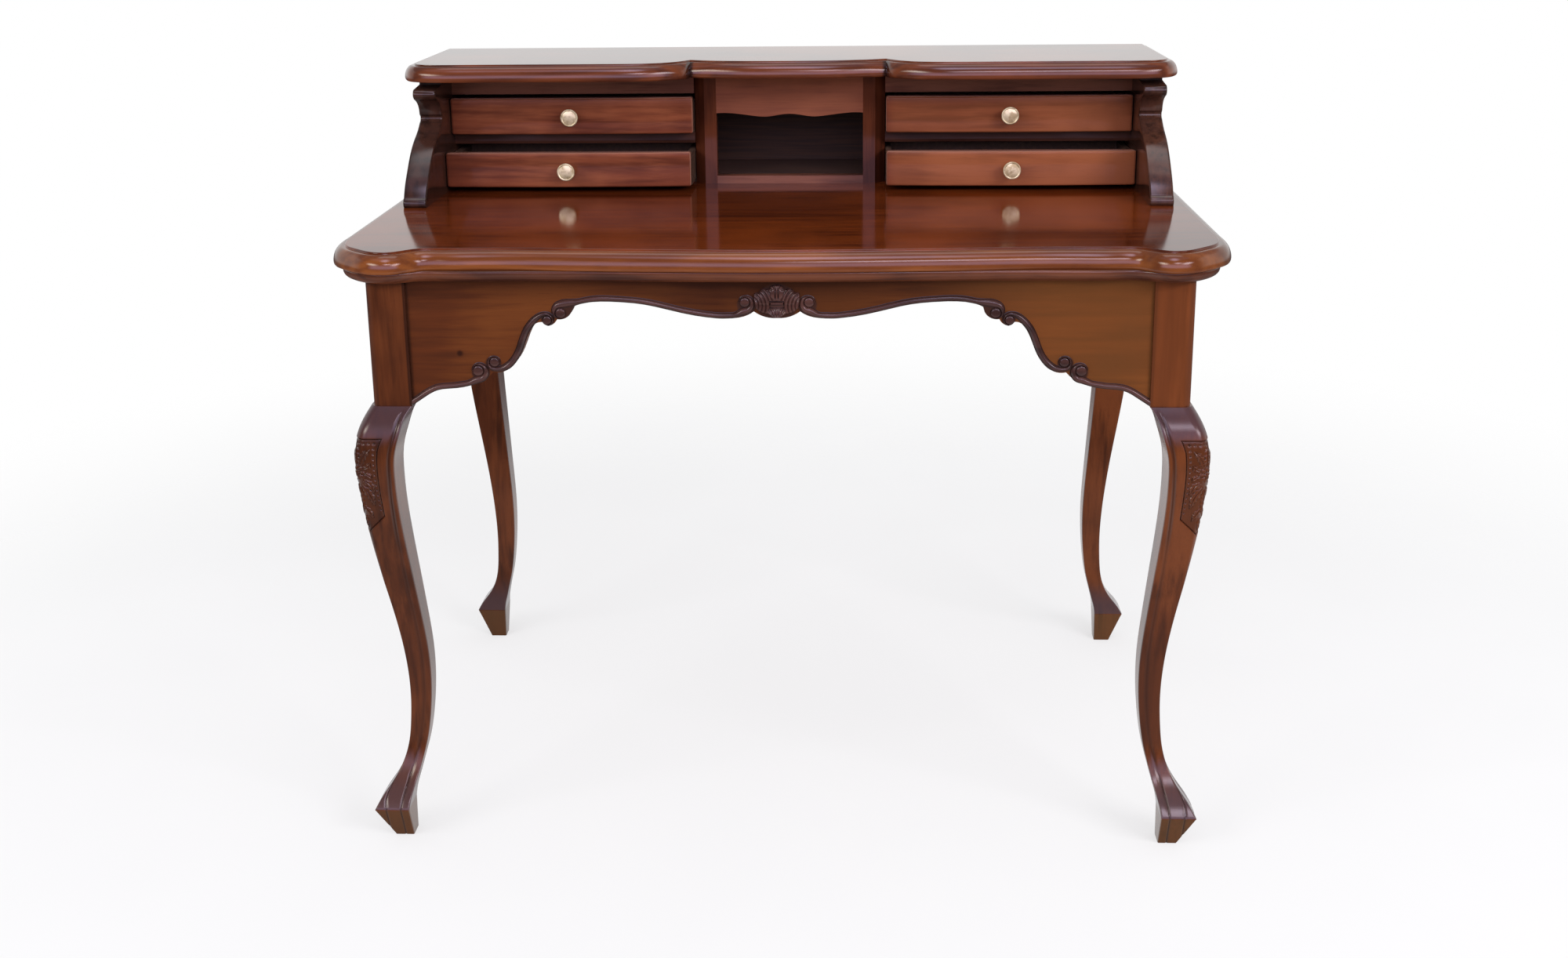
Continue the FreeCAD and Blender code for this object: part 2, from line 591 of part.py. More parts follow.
def make_pigeonhole():
    y0 = HUTCH_FRONT
    y1 = y0 + HOLE_FRAME_THICK
    x0 = HOLE_HALF_WIDTH
    x1 = PARTITION_OUTER
    z = WRITING_HEIGHT
    plan = [V(x0, y0, z), V(x1 - STILE_CANT, y0, z), V(x1, y0 + STILE_CANT, z), V(x1, y1, z),
            V(x0, y1, z), V(x0, y0, z)]
    stile = Part.Face(Part.makePolygon(plan)).extrude(V(0, 0, BOARD_Z - z))
    parts["stile_right"] = stile
    parts["stile_left"] = mirror_x(stile)
    sill_top = LOWER_Z + FLOOR_THICK
    parts["pigeonhole_sill"] = box(-x0, x0, y0, y1, z, sill_top)
    inner = PARTITION_OUTER - PARTITION_THICK
    parts["pigeonhole_floor"] = box(-inner, inner, y1, BACK_Y, LOWER_Z, sill_top)
    half = [V(x0 * share, y0, BOARD_Z - down) for share, down in VALANCE_LINE]
    line = [V(-p.x, p.y, p.z) for p in half[:0:-1]] + half
    ends = [V(-x0, y0, BOARD_Z), V(x0, y0, BOARD_Z)]
    edges = [edge_through(line), Part.makeLine(line[0], ends[0]), Part.makeLine(ends[0], ends[1]),
             Part.makeLine(ends[1], line[-1])]
    parts["pigeonhole_valance"] = solid_from(edges, V(0, VALANCE_THICK, 0))


# ---- drawers ----

def bowed_front(x0, x1, y, z0, z1):
    # Drawer front with a slightly bowed face.
    middle = (x0 + x1) / 2
    face = Part.Arc(V(x0, y, z0), V(middle, y - FRONT_BOW, z0), V(x1, y, z0)).toShape()
    back = y + FRONT_THICK
    corners = [V(x1, y, z0), V(x1, back, z0), V(x0, back, z0), V(x0, y, z0)]
    edges = [face] + [Part.makeLine(corners[i], corners[i + 1]) for i in range(3)]
    return solid_from(edges, V(0, 0, z1 - z0))


def knob_screw(x, face_y, z):
    # Through the drawer front into the knob, its head sunk flush inside the drawer.
    head_y = face_y + FRONT_BOW + FRONT_THICK - SCREW_HEAD_THICK
    return V(x, head_y, z), head_y - face_y + KNOB_GAP + KNOB_THREAD, V(0, -1, 0)


def turned_knob(x, face_y, z):
    foot_y = face_y - KNOB_GAP
    foot = V(x, foot_y, z)
    turned = [V(x + radius, foot_y - stand, z) for radius, stand in KNOB_PROFILE]
    outline = [foot] + turned + [V(x, turned[-1].y, z), foot]
    knob = Part.Face(Part.makePolygon(outline)).revolve(foot, V(0, 1, 0), 360)
    return knob.cut(screw_hole(*knob_screw(x, face_y, z)))


def make_drawer(name, side, opening_z, opening_height, ajar):
    x0, x1 = sorted((side * (PARTITION_OUTER + DRAWER_SIDE_GAP), side * (END_INNER - DRAWER_SIDE_GAP)))
    y0 = HUTCH_FRONT - ajar
    y1 = y0 + FRONT_THICK
    y2 = BACK_Y - DRAWER_REAR_GAP - ajar
    z0 = opening_z + DRAWER_RUN_GAP
    front_z = opening_z + FRONT_FOOT_GAP
    front_top = opening_z + opening_height - FRONT_HEAD_GAP
    side_top = front_top - DRAWER_SIDE_DROP
    groove_z = z0 + BOTTOM_HEIGHT
    inner0 = x0 + DRAWER_WOOD
    inner1 = x1 - DRAWER_WOOD
    deep = GROOVE_DEPTH + GLUE_FIT
    groove = box(inner0 - deep, inner1 + deep, y1 - deep, y2, groove_z - GLUE_FIT,
                 groove_z + BOTTOM_THICK + GLUE_FIT)
    knob_place = ((x0 + x1) / 2, y0 - FRONT_BOW, (front_z + front_top) / 2)
    fixing = knob_screw(*knob_place)
    front = bowed_front(x0, x1, y0, front_z, front_top)
    parts[name + "_front"] = front.cut([groove, screw_hole(*fixing)])
    left = box(x0, inner0, y1, y2, z0, side_top)
    right = box(inner1, x1, y1, y2, z0, side_top)
    parts[name + "_left_side"] = left.cut(groove)
    parts[name + "_right_side"] = right.cut(groove)
    back_z = groove_z + BOTTOM_THICK + GLUE_FIT
    parts[name + "_back"] = box(inner0, inner1, y2 - DRAWER_WOOD, y2, back_z, side_top)
    parts[name + "_bottom"] = box(inner0 - GROOVE_DEPTH, inner1 + GROOVE_DEPTH, y1 - GROOVE_DEPTH, y2,
                                  groove_z, groove_z + BOTTOM_THICK)
    parts[name + "_knob"] = Part.makeCompound([turned_knob(*knob_place), screw(*fixing)])


def make_drawers():
    for letter, side in (("l", -1), ("r", 1)):
        make_drawer("drawer_u" + letter, side, UPPER_Z, UPPER_OPENING, UPPER_AJAR)
        make_drawer("drawer_l" + letter, side, LOWER_Z, LOWER_OPENING, LOWER_AJAR)


def centre_in_depth():
    bounds = Part.makeCompound(list(parts.values())).BoundBox
    shift = V(0, -(bounds.YMin + bounds.YMax) / 2, 0)
    for shape in parts.values():
        shape.translate(shift)
    print("depth centred by", round(shift.y, 3))


def main():
    make_legs()
    make_front_apron()
    make_rear_apron()
    make_side_aprons()
    make_beads()
    make_shell()
    make_writing_top()
    make_under_mouldings()
    make_fixings()
    make_end_panels()
    make_hutch_top()
    make_carcase()
    make_pigeonhole()
    make_drawers()
    centre_in_depth()
    os.makedirs("parts", exist_ok=True)
    for name, shape in parts.items():
        shape.exportStep("parts/" + name + ".step")
        solids = shape.Solids
        print(name, len(solids), all(s.isValid() for s in solids), round(shape.Volume / 1000, 1))


main()
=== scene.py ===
import math

import bmesh
import bpy
import numpy as np
from mathutils import Matrix, Vector


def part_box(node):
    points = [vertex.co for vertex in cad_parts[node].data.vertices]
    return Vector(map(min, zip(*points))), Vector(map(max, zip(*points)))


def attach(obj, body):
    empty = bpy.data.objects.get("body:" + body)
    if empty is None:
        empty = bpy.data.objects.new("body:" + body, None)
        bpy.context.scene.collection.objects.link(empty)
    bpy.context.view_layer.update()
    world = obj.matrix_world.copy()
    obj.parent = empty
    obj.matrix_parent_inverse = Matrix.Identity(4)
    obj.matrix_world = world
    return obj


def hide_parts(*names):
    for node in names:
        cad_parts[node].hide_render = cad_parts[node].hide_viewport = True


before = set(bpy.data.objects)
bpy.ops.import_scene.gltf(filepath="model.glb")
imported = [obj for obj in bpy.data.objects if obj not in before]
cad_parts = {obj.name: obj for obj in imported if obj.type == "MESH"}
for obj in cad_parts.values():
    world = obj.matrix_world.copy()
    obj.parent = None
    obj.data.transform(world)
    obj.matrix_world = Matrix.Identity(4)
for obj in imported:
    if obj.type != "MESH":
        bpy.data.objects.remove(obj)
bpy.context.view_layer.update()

# Bonheur du jour: metres, standing on z = 0, front towards -y.
# The tables of sizes are in millimetres, with y measured from the front posts' front face.

mm = 0.001
postFace = -305.245     # that face's y in the frame
desk = "desk"
finishes = {}


def placed(points):
    return (np.asarray(points, float) + (0, postFace, 0)) * mm


def smoothLine(points, count):
    # natural cubic spline through the points, sampled evenly by chord length
    points = np.array(points, float)
    share = np.linspace(0, 1, count)[:, None]
    if len(points) == 2:
        return points[0] + share * (points[1] - points[0])
    knots = np.concatenate([[0], np.cumsum(np.linalg.norm(np.diff(points, axis=0), axis=1))])
    total = len(points)
    system = np.eye(total)
    target = np.zeros_like(points)
    for i in range(1, total - 1):
        before, after = knots[i] - knots[i - 1], knots[i + 1] - knots[i]
        system[i, i - 1:i + 2] = before, 2 * (before + after), after
        target[i] = 6 * ((points[i + 1] - points[i]) / after - (points[i] - points[i - 1]) / before)
    bends = np.linalg.solve(system, target)
    along = share[:, 0] * knots[-1]
    i = np.clip(np.searchsorted(knots, along, side="right") - 1, 0, total - 2)
    gap = (knots[i + 1] - knots[i])[:, None]
    a = (knots[i + 1] - along)[:, None] / gap
    b = 1 - a
    return (a * points[i] + b * points[i + 1]
            + ((a ** 3 - a) * bends[i] + (b ** 3 - b) * bends[i + 1]) * gap ** 2 / 6)


def smoothRuns(runs, spacing):
    # runs that meet at corners, each a smooth line; a corner point is kept once
    line = []
    for run in runs:
        length = np.linalg.norm(np.diff(np.array(run, float), axis=0), axis=1).sum()
        part = smoothLine(run, max(2, int(length / spacing) + 1))
        line.append(part if not line else part[1:])
    return np.concatenate(line)


def shifted(points, distance):
    # plan points moved outwards, which is towards -y on a front line that runs in +x
    points = np.array(points, float)
    ahead = np.roll(points, -1, axis=0)
    behind = np.roll(points, 1, axis=0)
    ahead[-1], behind[0] = points[-1], points[0]
    way = ahead - behind
    way /= np.linalg.norm(way, axis=1)[:, None]
    return points + distance * np.stack([way[:, 1], -way[:, 0]], axis=1)


def ramp(value, low, high):
    share = np.clip((np.asarray(value, float) - low) / (high - low), 0, 1)
    return share * share * (3 - 2 * share)


def bump(value, width):
    return np.exp(-(value / width) ** 2)


def hollowOf(relief, x, z, reach, depth):
    # how far a relief lies below its surroundings, 0 to 1
    around = [relief(x + reach * math.cos(turn), z + reach * math.sin(turn))
              for turn in np.linspace(0, 2 * math.pi, 8, endpoint=False)]
    return ramp(np.mean(around, axis=0) - relief(x, z), 0.0, depth)


def tubeFaces(rows, columns):
    # quads round a tube of closed rings, and a cap at each end
    row = np.arange(rows - 1)[:, None] * columns
    column = np.arange(columns)[None, :]
    here, beside = row + column, row + (column + 1) % columns
    quads = np.stack([here, beside, beside + columns, here + columns], axis=-1).reshape(-1, 4)
    return quads.tolist() + [list(range(columns)), list(range((rows - 1) * columns, rows * columns))]


def addValues(mesh, name, domain, values):
    layer = mesh.attributes.new(name, "FLOAT", domain)
    layer.data.foreach_set("value", np.asarray(values, np.float32).ravel())


def turnOutwards(mesh, merge=False):
    work = bmesh.new()
    work.from_mesh(mesh)
    if merge:
        bmesh.ops.remove_doubles(work, verts=work.verts, dist=2e-6)
        bmesh.ops.dissolve_degenerate(work, edges=work.edges, dist=1e-6)
    bmesh.ops.recalc_face_normals(work, faces=work.faces)
    work.to_mesh(mesh)
    work.free()


def added(name, data):
    thing = bpy.data.objects.new(name, data)
    bpy.context.collection.objects.link(thing)
    return thing


def dressed(name, mesh, finish, sharp=38):
    mesh.polygons.foreach_set("use_smooth", [True] * len(mesh.polygons))
    mesh.set_sharp_from_angle(angle=math.radians(sharp))
    mesh.materials.clear()
    mesh.materials.append(finishes[finish])
    # faces turned straight to the front are rubbed duller than edges and tops, faces that look
    # down duller still
    recipe = walnuts.get(finish, lacquer)
    normals = np.empty(len(mesh.loops) * 3)
    mesh.corner_normals.foreach_get("vector", normals)
    normals = normals.reshape(-1, 3)
    polish = 1 - recipe["frontDull"] * ramp(-normals[:, 1], 0.86, 0.985)
    polish = polish * (1 - recipe["underDull"] * ramp(-normals[:, 2], 0.1, 0.5))
    addValues(mesh, "polish", "CORNER", polish)
    return added(name, mesh)


def pieceFrom(name, rings, finish, sharp=38, hollow=None):
    # rings: equal rows of points, in metres
    mesh = bpy.data.meshes.new(name)
    mesh.from_pydata(rings.reshape(-1, 3).tolist(), [], tubeFaces(*rings.shape[:2]))
    if hollow is not None:
        addValues(mesh, "hollow", "POINT", hollow)
    turnOutwards(mesh, merge=True)
    return dressed(name, mesh, finish, sharp)


def baked(piece, finish, sharp=38):
    # the evaluated piece as one plain mesh at the origin
    graph = bpy.context.evaluated_depsgraph_get()
    mesh = bpy.data.meshes.new_from_object(piece.evaluated_get(graph))
    name, old = piece.name, piece.data
    bpy.data.objects.remove(piece)
    if isinstance(old, bpy.types.Mesh):
        bpy.data.meshes.remove(old)
    mesh.name = name
    return dressed(name, mesh, finish, sharp)


def settle(piece, nodes, body=desk):
    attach(piece, body)
    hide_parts(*nodes)


cameraSettings = {
    "place": (0.0920, -2.2794, 1.1768),
    "yaw": 0.0425,
    "pitch": 0.2614,
    "roll": -0.0108,
    "focalPixels": 2207.4,
    "pixels": 2000,
    "sensor": 36.0,
    "shiftY": -0.085,
    "clipEnd": 60.0,
}


def makeCamera(settings):
    yaw, pitch, roll = settings["yaw"], settings["pitch"], settings["roll"]
    level = Vector((-math.sin(yaw), math.cos(yaw), 0))
    right = Vector((level.y, -level.x, 0))
    ahead = level * math.cos(pitch) - Vector((0, 0, math.sin(pitch)))
    up = level * math.sin(pitch) + Vector((0, 0, math.cos(pitch)))
    rolledRight = right * math.cos(roll) + up * math.sin(roll)
    rolledUp = up * math.cos(roll) - right * math.sin(roll)
    data = bpy.data.cameras.new("camera")
    data.sensor_width = settings["sensor"]
    data.lens = settings["focalPixels"] * settings["sensor"] / settings["pixels"]
    data.shift_y = settings["shiftY"]
    data.clip_end = settings["clipEnd"]
    camera = added("camera", data)
    turn = Matrix((rolledRight, rolledUp, -ahead)).transposed().to_4x4()
    camera.matrix_world = Matrix.Translation(settings["place"]) @ turn
    bpy.context.scene.camera = camera


makeCamera(cameraSettings)
bpy.context.scene.view_settings.view_transform = "Standard"
print("camera set")


class Value:
    # a socket that takes part in Python arithmetic; every operator adds a Math node
    def __init__(self, finish, socket):
        self.finish = finish
        self.socket = socket

    def maths(self, operation, first, second):
        return self.finish.add("ShaderNodeMath", {"operation": operation}, {0: first, 1: second})

    def __add__(self, other):
        return self.maths("ADD", self, other)

    def __radd__(self, other):
        return self.maths("ADD", other, self)

    def __sub__(self, other):
        return self.maths("SUBTRACT", self, other)

    def __rsub__(self, other):
        return self.maths("SUBTRACT", other, self)

    def __mul__(self, other):
        return self.maths("MULTIPLY", self, other)

    def __rmul__(self, other):
        return self.maths("MULTIPLY", other, self)


def tone(red, green, blue):
    # a colour written as it shows on a screen, 0 to 255
    def straight(level):
        level /= 255
        return level / 12.92 if level <= 0.04045 else ((level + 0.055) / 1.055) ** 2.4
    return (straight(red), straight(green), straight(blue), 1.0)


class Finish:
    def __init__(self, name, tree=None):
        if tree is None:
            finishes[name] = bpy.data.materials.new(name)
            finishes[name].use_nodes = True
            tree = finishes[name].node_tree
        self.tree = tree
        self.tree.nodes.clear()

    def add(self, kind, settings=None, values=None, output=0):
        node = self.tree.nodes.new(kind)
        for key, setting in (settings or {}).items():
            setattr(node, key, setting)
        for key, value in (values or {}).items():
            if isinstance(value, Value):
                self.tree.links.new(value.socket, node.inputs[key])
            else:
                node.inputs[key].default_value = value
        return Value(self, node.outputs[output]) if node.outputs else None

    def place(self, output="Object"):
        return self.add("ShaderNodeTexCoord", output=output)

    def attribute(self, name):
        return self.add("ShaderNodeAttribute", {"attribute_name": name}, {}, "Fac")

    def outputsOf(self, value):
        return [Value(self, socket) for socket in value.socket.node.outputs]

    def axes(self, vector):
        return self.outputsOf(self.add("ShaderNodeSeparateXYZ", {}, {0: vector}))

    def vector(self, operation, values, output=0):
        return self.add("ShaderNodeVectorMath", {"operation": operation}, dict(enumerate(values)), output)

    def between(self, value, low, high):
        # 0 below low, 1 above high, smooth between
        return self.add("ShaderNodeMapRange", {"interpolation_type": "SMOOTHSTEP"},
                        {"Value": value, "From Min": low, "From Max": high})

    def sine(self, value):
        return self.add("ShaderNodeMath", {"operation": "SINE"}, {0: value})

    def mixed(self, share, *colours):
        # three numbers are a colour as it shows on a screen
        first, second = (tone(*colour) if isinstance(colour, tuple) and len(colour) == 3 else colour
                         for colour in colours)
        return self.add("ShaderNodeMix", {"data_type": "RGBA"}, {0: share, 6: first, 7: second}, 2)

    def noise(self, vector, scale, detail=2.0, rough=0.5, output=0):
        return self.add("ShaderNodeTexNoise", {},
                        {"Vector": vector, "Scale": scale, "Detail": detail, "Roughness": rough}, output)

    def stretched(self, vector, factors, move=(0, 0, 0), turn=(0, 0, 0)):
        return self.add("ShaderNodeMapping", {},
                        {"Vector": vector, "Scale": factors, "Location": move, "Rotation": turn})

    def bumped(self, height, strength, distance, under=None):
        values = {"Height": height, "Strength": strength, "Distance": distance}
        if under is not None:
            values["Normal"] = under
        return self.add("ShaderNodeBump", {}, values)

    def shade(self, values):
        shader = self.add("ShaderNodeBsdfPrincipled", {}, values)
        self.add("ShaderNodeOutputMaterial", {}, {"Surface": shader})


grainLong, grainFine = 0.07, 0.022      # how much figure and fibre are stretched along the grain
# shadeAndStain is painted shade under and between parts, in creases and in carved recesses, and also the
# real stain of a knot and glaze in carvings; violetSheen is a painted violet sheen on the knee tops, with
# some toned lacquer
shadeAndStain, violetSheen = (34, 18, 14), (70, 52, 58)
# what every lacquered walnut has unless its recipe says otherwise
lacquer = {
    "frontDull": 0.7,       # how much less lacquer shows on faces turned straight to the front
    "underDull": 0.8,       # and on faces that look down
    "gloss": 0.07, "coatIor": 1.45, "rough": 0.42, "smokeShare": 0.3, "zones": [],
    "sway": 14.0, "swayReach": (0.02, 0.02, 0.02), "broad": 11.0, "rings": 62.0, "streak": 120.0,
    "fibre": 1300.0, "patch": 4.2, "cloud": 7.0, "ripple": 30.0,
}
# Tones are the light, middle and dark figure and the smoky stain; move says where the pattern
# starts. Zones are places toned darker or lighter, most of them painted shade and painted light:
# the axis or place, where it starts and is full (and where it is full until and ends), its share
# and its tone.
walnuts = {
    "legWalnut": {
        "grain": "z", "tones": ((104, 55, 29), (80, 40, 21), (60, 30, 17), (42, 24, 19)),
        "smokeShare": 0.35, "move": (0.31, 0.12, 0.4), "gloss": 0.17,
        # painted shade under the moulding, a painted violet sheen on the knee top and the feet's tops, an
        # olive tone on the feet's lower faces, painted shade at a post's edge by the apron, painted light
        # on the right post and painted shade on the left legs
        "zones": [("z", (0.716, 0.727), 0.5, shadeAndStain),
                  ("z", (0.525, 0.552, 0.5727, 0.5732), 0.8, violetSheen),
                  ("z", (0.0445, 0.0455, 0.060, 0.115), 0.75, (72, 57, 61)),
                  ("z", (-0.002, -0.001, 0.0435, 0.0445), 0.6, (88, 62, 36)),
                  ("shadedJoint", (0.0, 0.5), 0.75, shadeAndStain), ("litRightPost", (0.0, 0.5), 0.3, (140, 76, 40)),
                  ("x", (-0.2, -0.4), 0.2, (50, 24, 14))],
    },
    "apronWalnut": {
        "grain": "x", "tones": ((106, 58, 29), (88, 44, 24), (70, 36, 22), (58, 35, 26)),
        "smokeShare": 0.4, "move": (1.3, 0.2, 0.7), "coat": 0.3, "knot": (-0.3797, -0.3012, 0.6377),
        # painted shade on the apron right behind the carved scrolls: side, height, radius
        "face": -0.301245, "discShadeTone": (58, 36, 30),
        "discs": [(0.0, 0.6985, 0.0245), (0.0354, 0.6966, 0.012), (0.2505, 0.6905, 0.014),
                  (0.272, 0.6806, 0.009), (0.340, 0.625, 0.010), (0.3558, 0.6137, 0.0115)],
        # painted shade under the moulding and by the posts, darker towards the middle, painted light on
        # the right half and painted shade on the left half
        "zones": [("z", (0.690, 0.729), 0.62, shadeAndStain), ("side", (0.436, 0.4405), 0.8, shadeAndStain),
                  ("side", (0.26, 0.06), 0.5, shadeAndStain), ("x", (0.1, 0.35), 0.3, (136, 86, 42)),
                  ("x", (-0.1, -0.35), 0.2, (60, 32, 16))],
    },
    "sideWalnut": {
        "grain": "y", "tones": ((122, 68, 34), (100, 51, 26), (72, 37, 23), (56, 35, 27)),
        "smokeShare": 0.4, "move": (0.3, 1.2, 0.7), "coat": 0.5,
        # painted shade under the moulding
        "zones": [("z", (0.700, 0.729), 0.5, shadeAndStain)],
    },
    "uprightWalnut": {
        "grain": "z", "tones": ((92, 46, 28), (70, 32, 20), (44, 21, 15), (34, 20, 16)),
        "smokeShare": 0.4, "move": (0.9, 0.2, 0.1), "coat": 0.5,
    },
    # edge: where the moulded edge ends and the top begins, and the edge's light and middle figure; on the
    # writing top these are lighter, painted light, on the crown darker
    "topWalnut": {
        "grain": "x", "tones": ((116, 52, 20), (96, 42, 17), (70, 28, 13), (54, 24, 14)),
        "move": (0.1, 0.6, 0.3), "gloss": 0.1, "frontDull": 0.1,
        "edge": (0.7625, 0.7632, (126, 70, 33), (98, 50, 25)),
        # painted dark reflection on the far ends of the moulded edge
        "edgeShadeZones": [("side", (0.502, 0.534), 0.7, (62, 46, 36))],
    },
    "crownWalnut": {
        "grain": "x", "tones": ((116, 58, 30), (92, 44, 22), (64, 30, 16), (48, 24, 16)),
        "move": (0.4, 0.1, 0.6), "gloss": 0.1, "frontDull": 0.1,
        "edge": (0.9405, 0.9412, (108, 56, 33), (76, 38, 25)),
        # painted shade in the creases at the cusps of the crown's moulded edge
        "edgeShadeZones": [("sideFront", (0.1275, 0.1325, 0.1355, 0.1405), 0.9, shadeAndStain)],
    },
    "mouldWalnut": {
        "grain": "x", "tones": ((100, 55, 35), (77, 41, 28), (58, 31, 23), (56, 34, 28)),
        "move": (0.5, 0.1, 0.9), "gloss": 0.12, "frontDull": 0.3,
    },
    "drawerWalnut": {
        "grain": "x", "tones": ((142, 80, 54), (116, 59, 41), (90, 45, 32), (74, 42, 34)),
        # arris: a painted pinkish highlight on the bevelled edges and the faces not turned to the front
        "move": (0.2, 0.9, 0.5), "arris": (186, 134, 116),
        # painted light on the right bay's drawers and on the valance under the crown
        "zones": [("x", (0.13, 0.15), 0.25, (160, 98, 62)), ("side", (0.14, 0.12), 0.3, (144, 98, 84))],
    },
    "railWalnut": {
        "grain": "x", "tones": ((126, 78, 62), (104, 62, 50), (70, 38, 31), (54, 35, 31)),
        "move": (0.8, 0.4, 0.2), "coat": 0.5,
        # painted shade on the shelves' fronts between the drawers
        "zones": [("z", (0.820, 0.822, 0.840, 0.842), 0.7, shadeAndStain)],
    },
    "carvedWalnut": {
        "grain": "x", "tones": ((82, 52, 46), (64, 40, 37), (46, 29, 27), (44, 29, 27)),
        "move": (0.6, 0.3, 0.8), "gloss": 0.12, "frontDull": 0.2,
    },
    "scrollWalnut": {
        "grain": "z", "tones": ((82, 50, 38), (60, 36, 29), (38, 23, 19), (32, 21, 19)),
        "move": (0.4, 0.7, 0.2), "gloss": 0.14, "frontDull": 0.1,
    },
}
walnuts = {name: {**lacquer, **recipe} for name, recipe in walnuts.items()}
places = {"post": (0.572, 0.576), "rearHalf": (0.24, 0.25), "shadedJoint": (0.4450, 0.4412),
          "litRightPost": (0.2, 0.4)}


def grainScale(grain, stretch):
    return tuple(stretch if axis == grain else 1.0 for axis in "xyz")


def placesOf(finish, place):
    x, y, z = finish.axes(place)
    side = finish.add("ShaderNodeMath", {"operation": "ABSOLUTE"}, {0: x})
    post = finish.between(z, *places["post"])
    return {
        "x": x, "y": y, "z": z,
        "side": side,       # the distance from the middle plane
        "sideFront": side + finish.between(y, *places["rearHalf"]),     # and far out on the rear half
        # where painted shade goes at a post's edge by the apron, and where painted light goes on the
        # right post
        "shadedJoint": finish.between(side, *places["shadedJoint"]) * post,         # a post's edge by the apron
        "litRightPost": finish.between(x, *places["litRightPost"]) * post,
    }


def toned(finish, parts, colour, zones):
    for axis, bounds, share, shade in zones:
        zone = finish.between(parts[axis], *bounds[:2]) * share
        if len(bounds) > 2:
            zone = zone * (1 - finish.between(parts[axis], *bounds[2:]))
        colour = finish.mixed(zone, colour, shade)
    return colour


def makeWalnut(name, recipe):
    finish = Finish(name)
    light, middle, dark, smoky = recipe["tones"]
    place = finish.place()
    parts = placesOf(finish, place)
    moved = finish.stretched(place, (1, 1, 1), recipe["move"])
    along = finish.stretched(moved, grainScale(recipe["grain"], grainLong))
    fine = finish.stretched(moved, grainScale(recipe["grain"], grainFine))
    sway = finish.noise(along, recipe["sway"], output=1)
    swayed = finish.vector("MULTIPLY_ADD", (sway, recipe["swayReach"], along))
    broad = finish.noise(swayed, recipe["broad"], 3.0)
    rings = finish.sine(broad * recipe["rings"]) * 0.5 + 0.5
    streak = finish.noise(swayed, recipe["streak"], 3.0, 0.6)
    fibre = finish.noise(fine, recipe["fibre"], 2.0, 0.6)
    patch = finish.noise(moved, recipe["patch"], 3.0, 0.55)
    cloud = finish.noise(moved, recipe["cloud"], 4.0, 0.6)
    pores = finish.between(fibre, 0.58, 0.74)
    depth = finish.between(rings * 0.18 + streak * 0.5 + broad * 0.32, 0.28, 0.62)
    colour = finish.mixed(depth, dark, middle)
    colour = finish.mixed(finish.between(patch + streak * 0.35, 0.60, 0.84), colour, light)
    # the moulded edge gets its own toned figure, painted light on the writing top, and its own painted
    # shade and reflection zones
    if "edge" in recipe:
        low, high, edgeLight, edgeMiddle = recipe["edge"]
        trim = toned(finish, parts, finish.mixed(depth, edgeMiddle, edgeLight), recipe["edgeShadeZones"])
        colour = finish.mixed(finish.between(parts["z"], low, high), trim, colour)
    colour = finish.mixed(pores * 0.4, colour, dark)
    smoke = finish.between(cloud, 0.50, 0.74) * recipe["smokeShare"]
    colour = toned(finish, parts, finish.mixed(smoke, colour, smoky), recipe["zones"])
    if "coat" not in recipe:
        # painted shade in carved recesses, grooves and quirks, partly also the glaze that gathers there
        colour = finish.mixed(finish.attribute("hollow") * 0.85, colour, shadeAndStain)
    # painted shade: a dark disc round each carved scroll and the shell
    for across, up, radius in recipe.get("discs", []):
        reach = finish.add("ShaderNodeCombineXYZ", {}, {
            0: parts["side"] - across, 1: parts["y"] - recipe["face"], 2: parts["z"] - up})
        apart = finish.vector("LENGTH", (reach,), "Value")
        discShade = finish.between(apart, radius + 0.001, radius - 0.002)
        colour = finish.mixed(discShade, colour, recipe["discShadeTone"])
    if "knot" in recipe:
        apart = finish.vector("DISTANCE", (place, recipe["knot"]), "Value")
        colour = finish.mixed(finish.between(apart, 0.0055, 0.0015) * 0.8, colour, shadeAndStain)
    polish = recipe.get("coat") or finish.attribute("polish")
    # painted highlight along the drawer fronts' arrises, where the polish is high
    if "arris" in recipe:
        colour = finish.mixed(finish.between(polish, 0.5, 0.95) * 0.55, colour, recipe["arris"])
    normal = finish.bumped(finish.noise(moved, recipe["ripple"]), 0.03, 0.001)
    normal = finish.bumped(1 - pores, 0.10, 0.00006, normal)
    finish.shade({"Base Color": colour, "Roughness": recipe["rough"] + pores * 0.15 + smoke * 0.1,
                  "Normal": normal, "Specular IOR Level": 0.0, "Coat Weight": polish,
                  "Coat Roughness": recipe["gloss"], "Coat IOR": recipe["coatIor"], "IOR": 1.45})


# unpolished woods inside
plainWoods = {
    "liningOak": {"grain": "y", "light": (74, 53, 39), "dark": (52, 37, 28), "rough": 0.62},
    "innerPine": {"grain": "x", "light": (66, 43, 33), "dark": (40, 26, 21), "rough": 0.7,
                  "rear": (0.302, 0.306, (104, 70, 46), (74, 47, 31))},
}


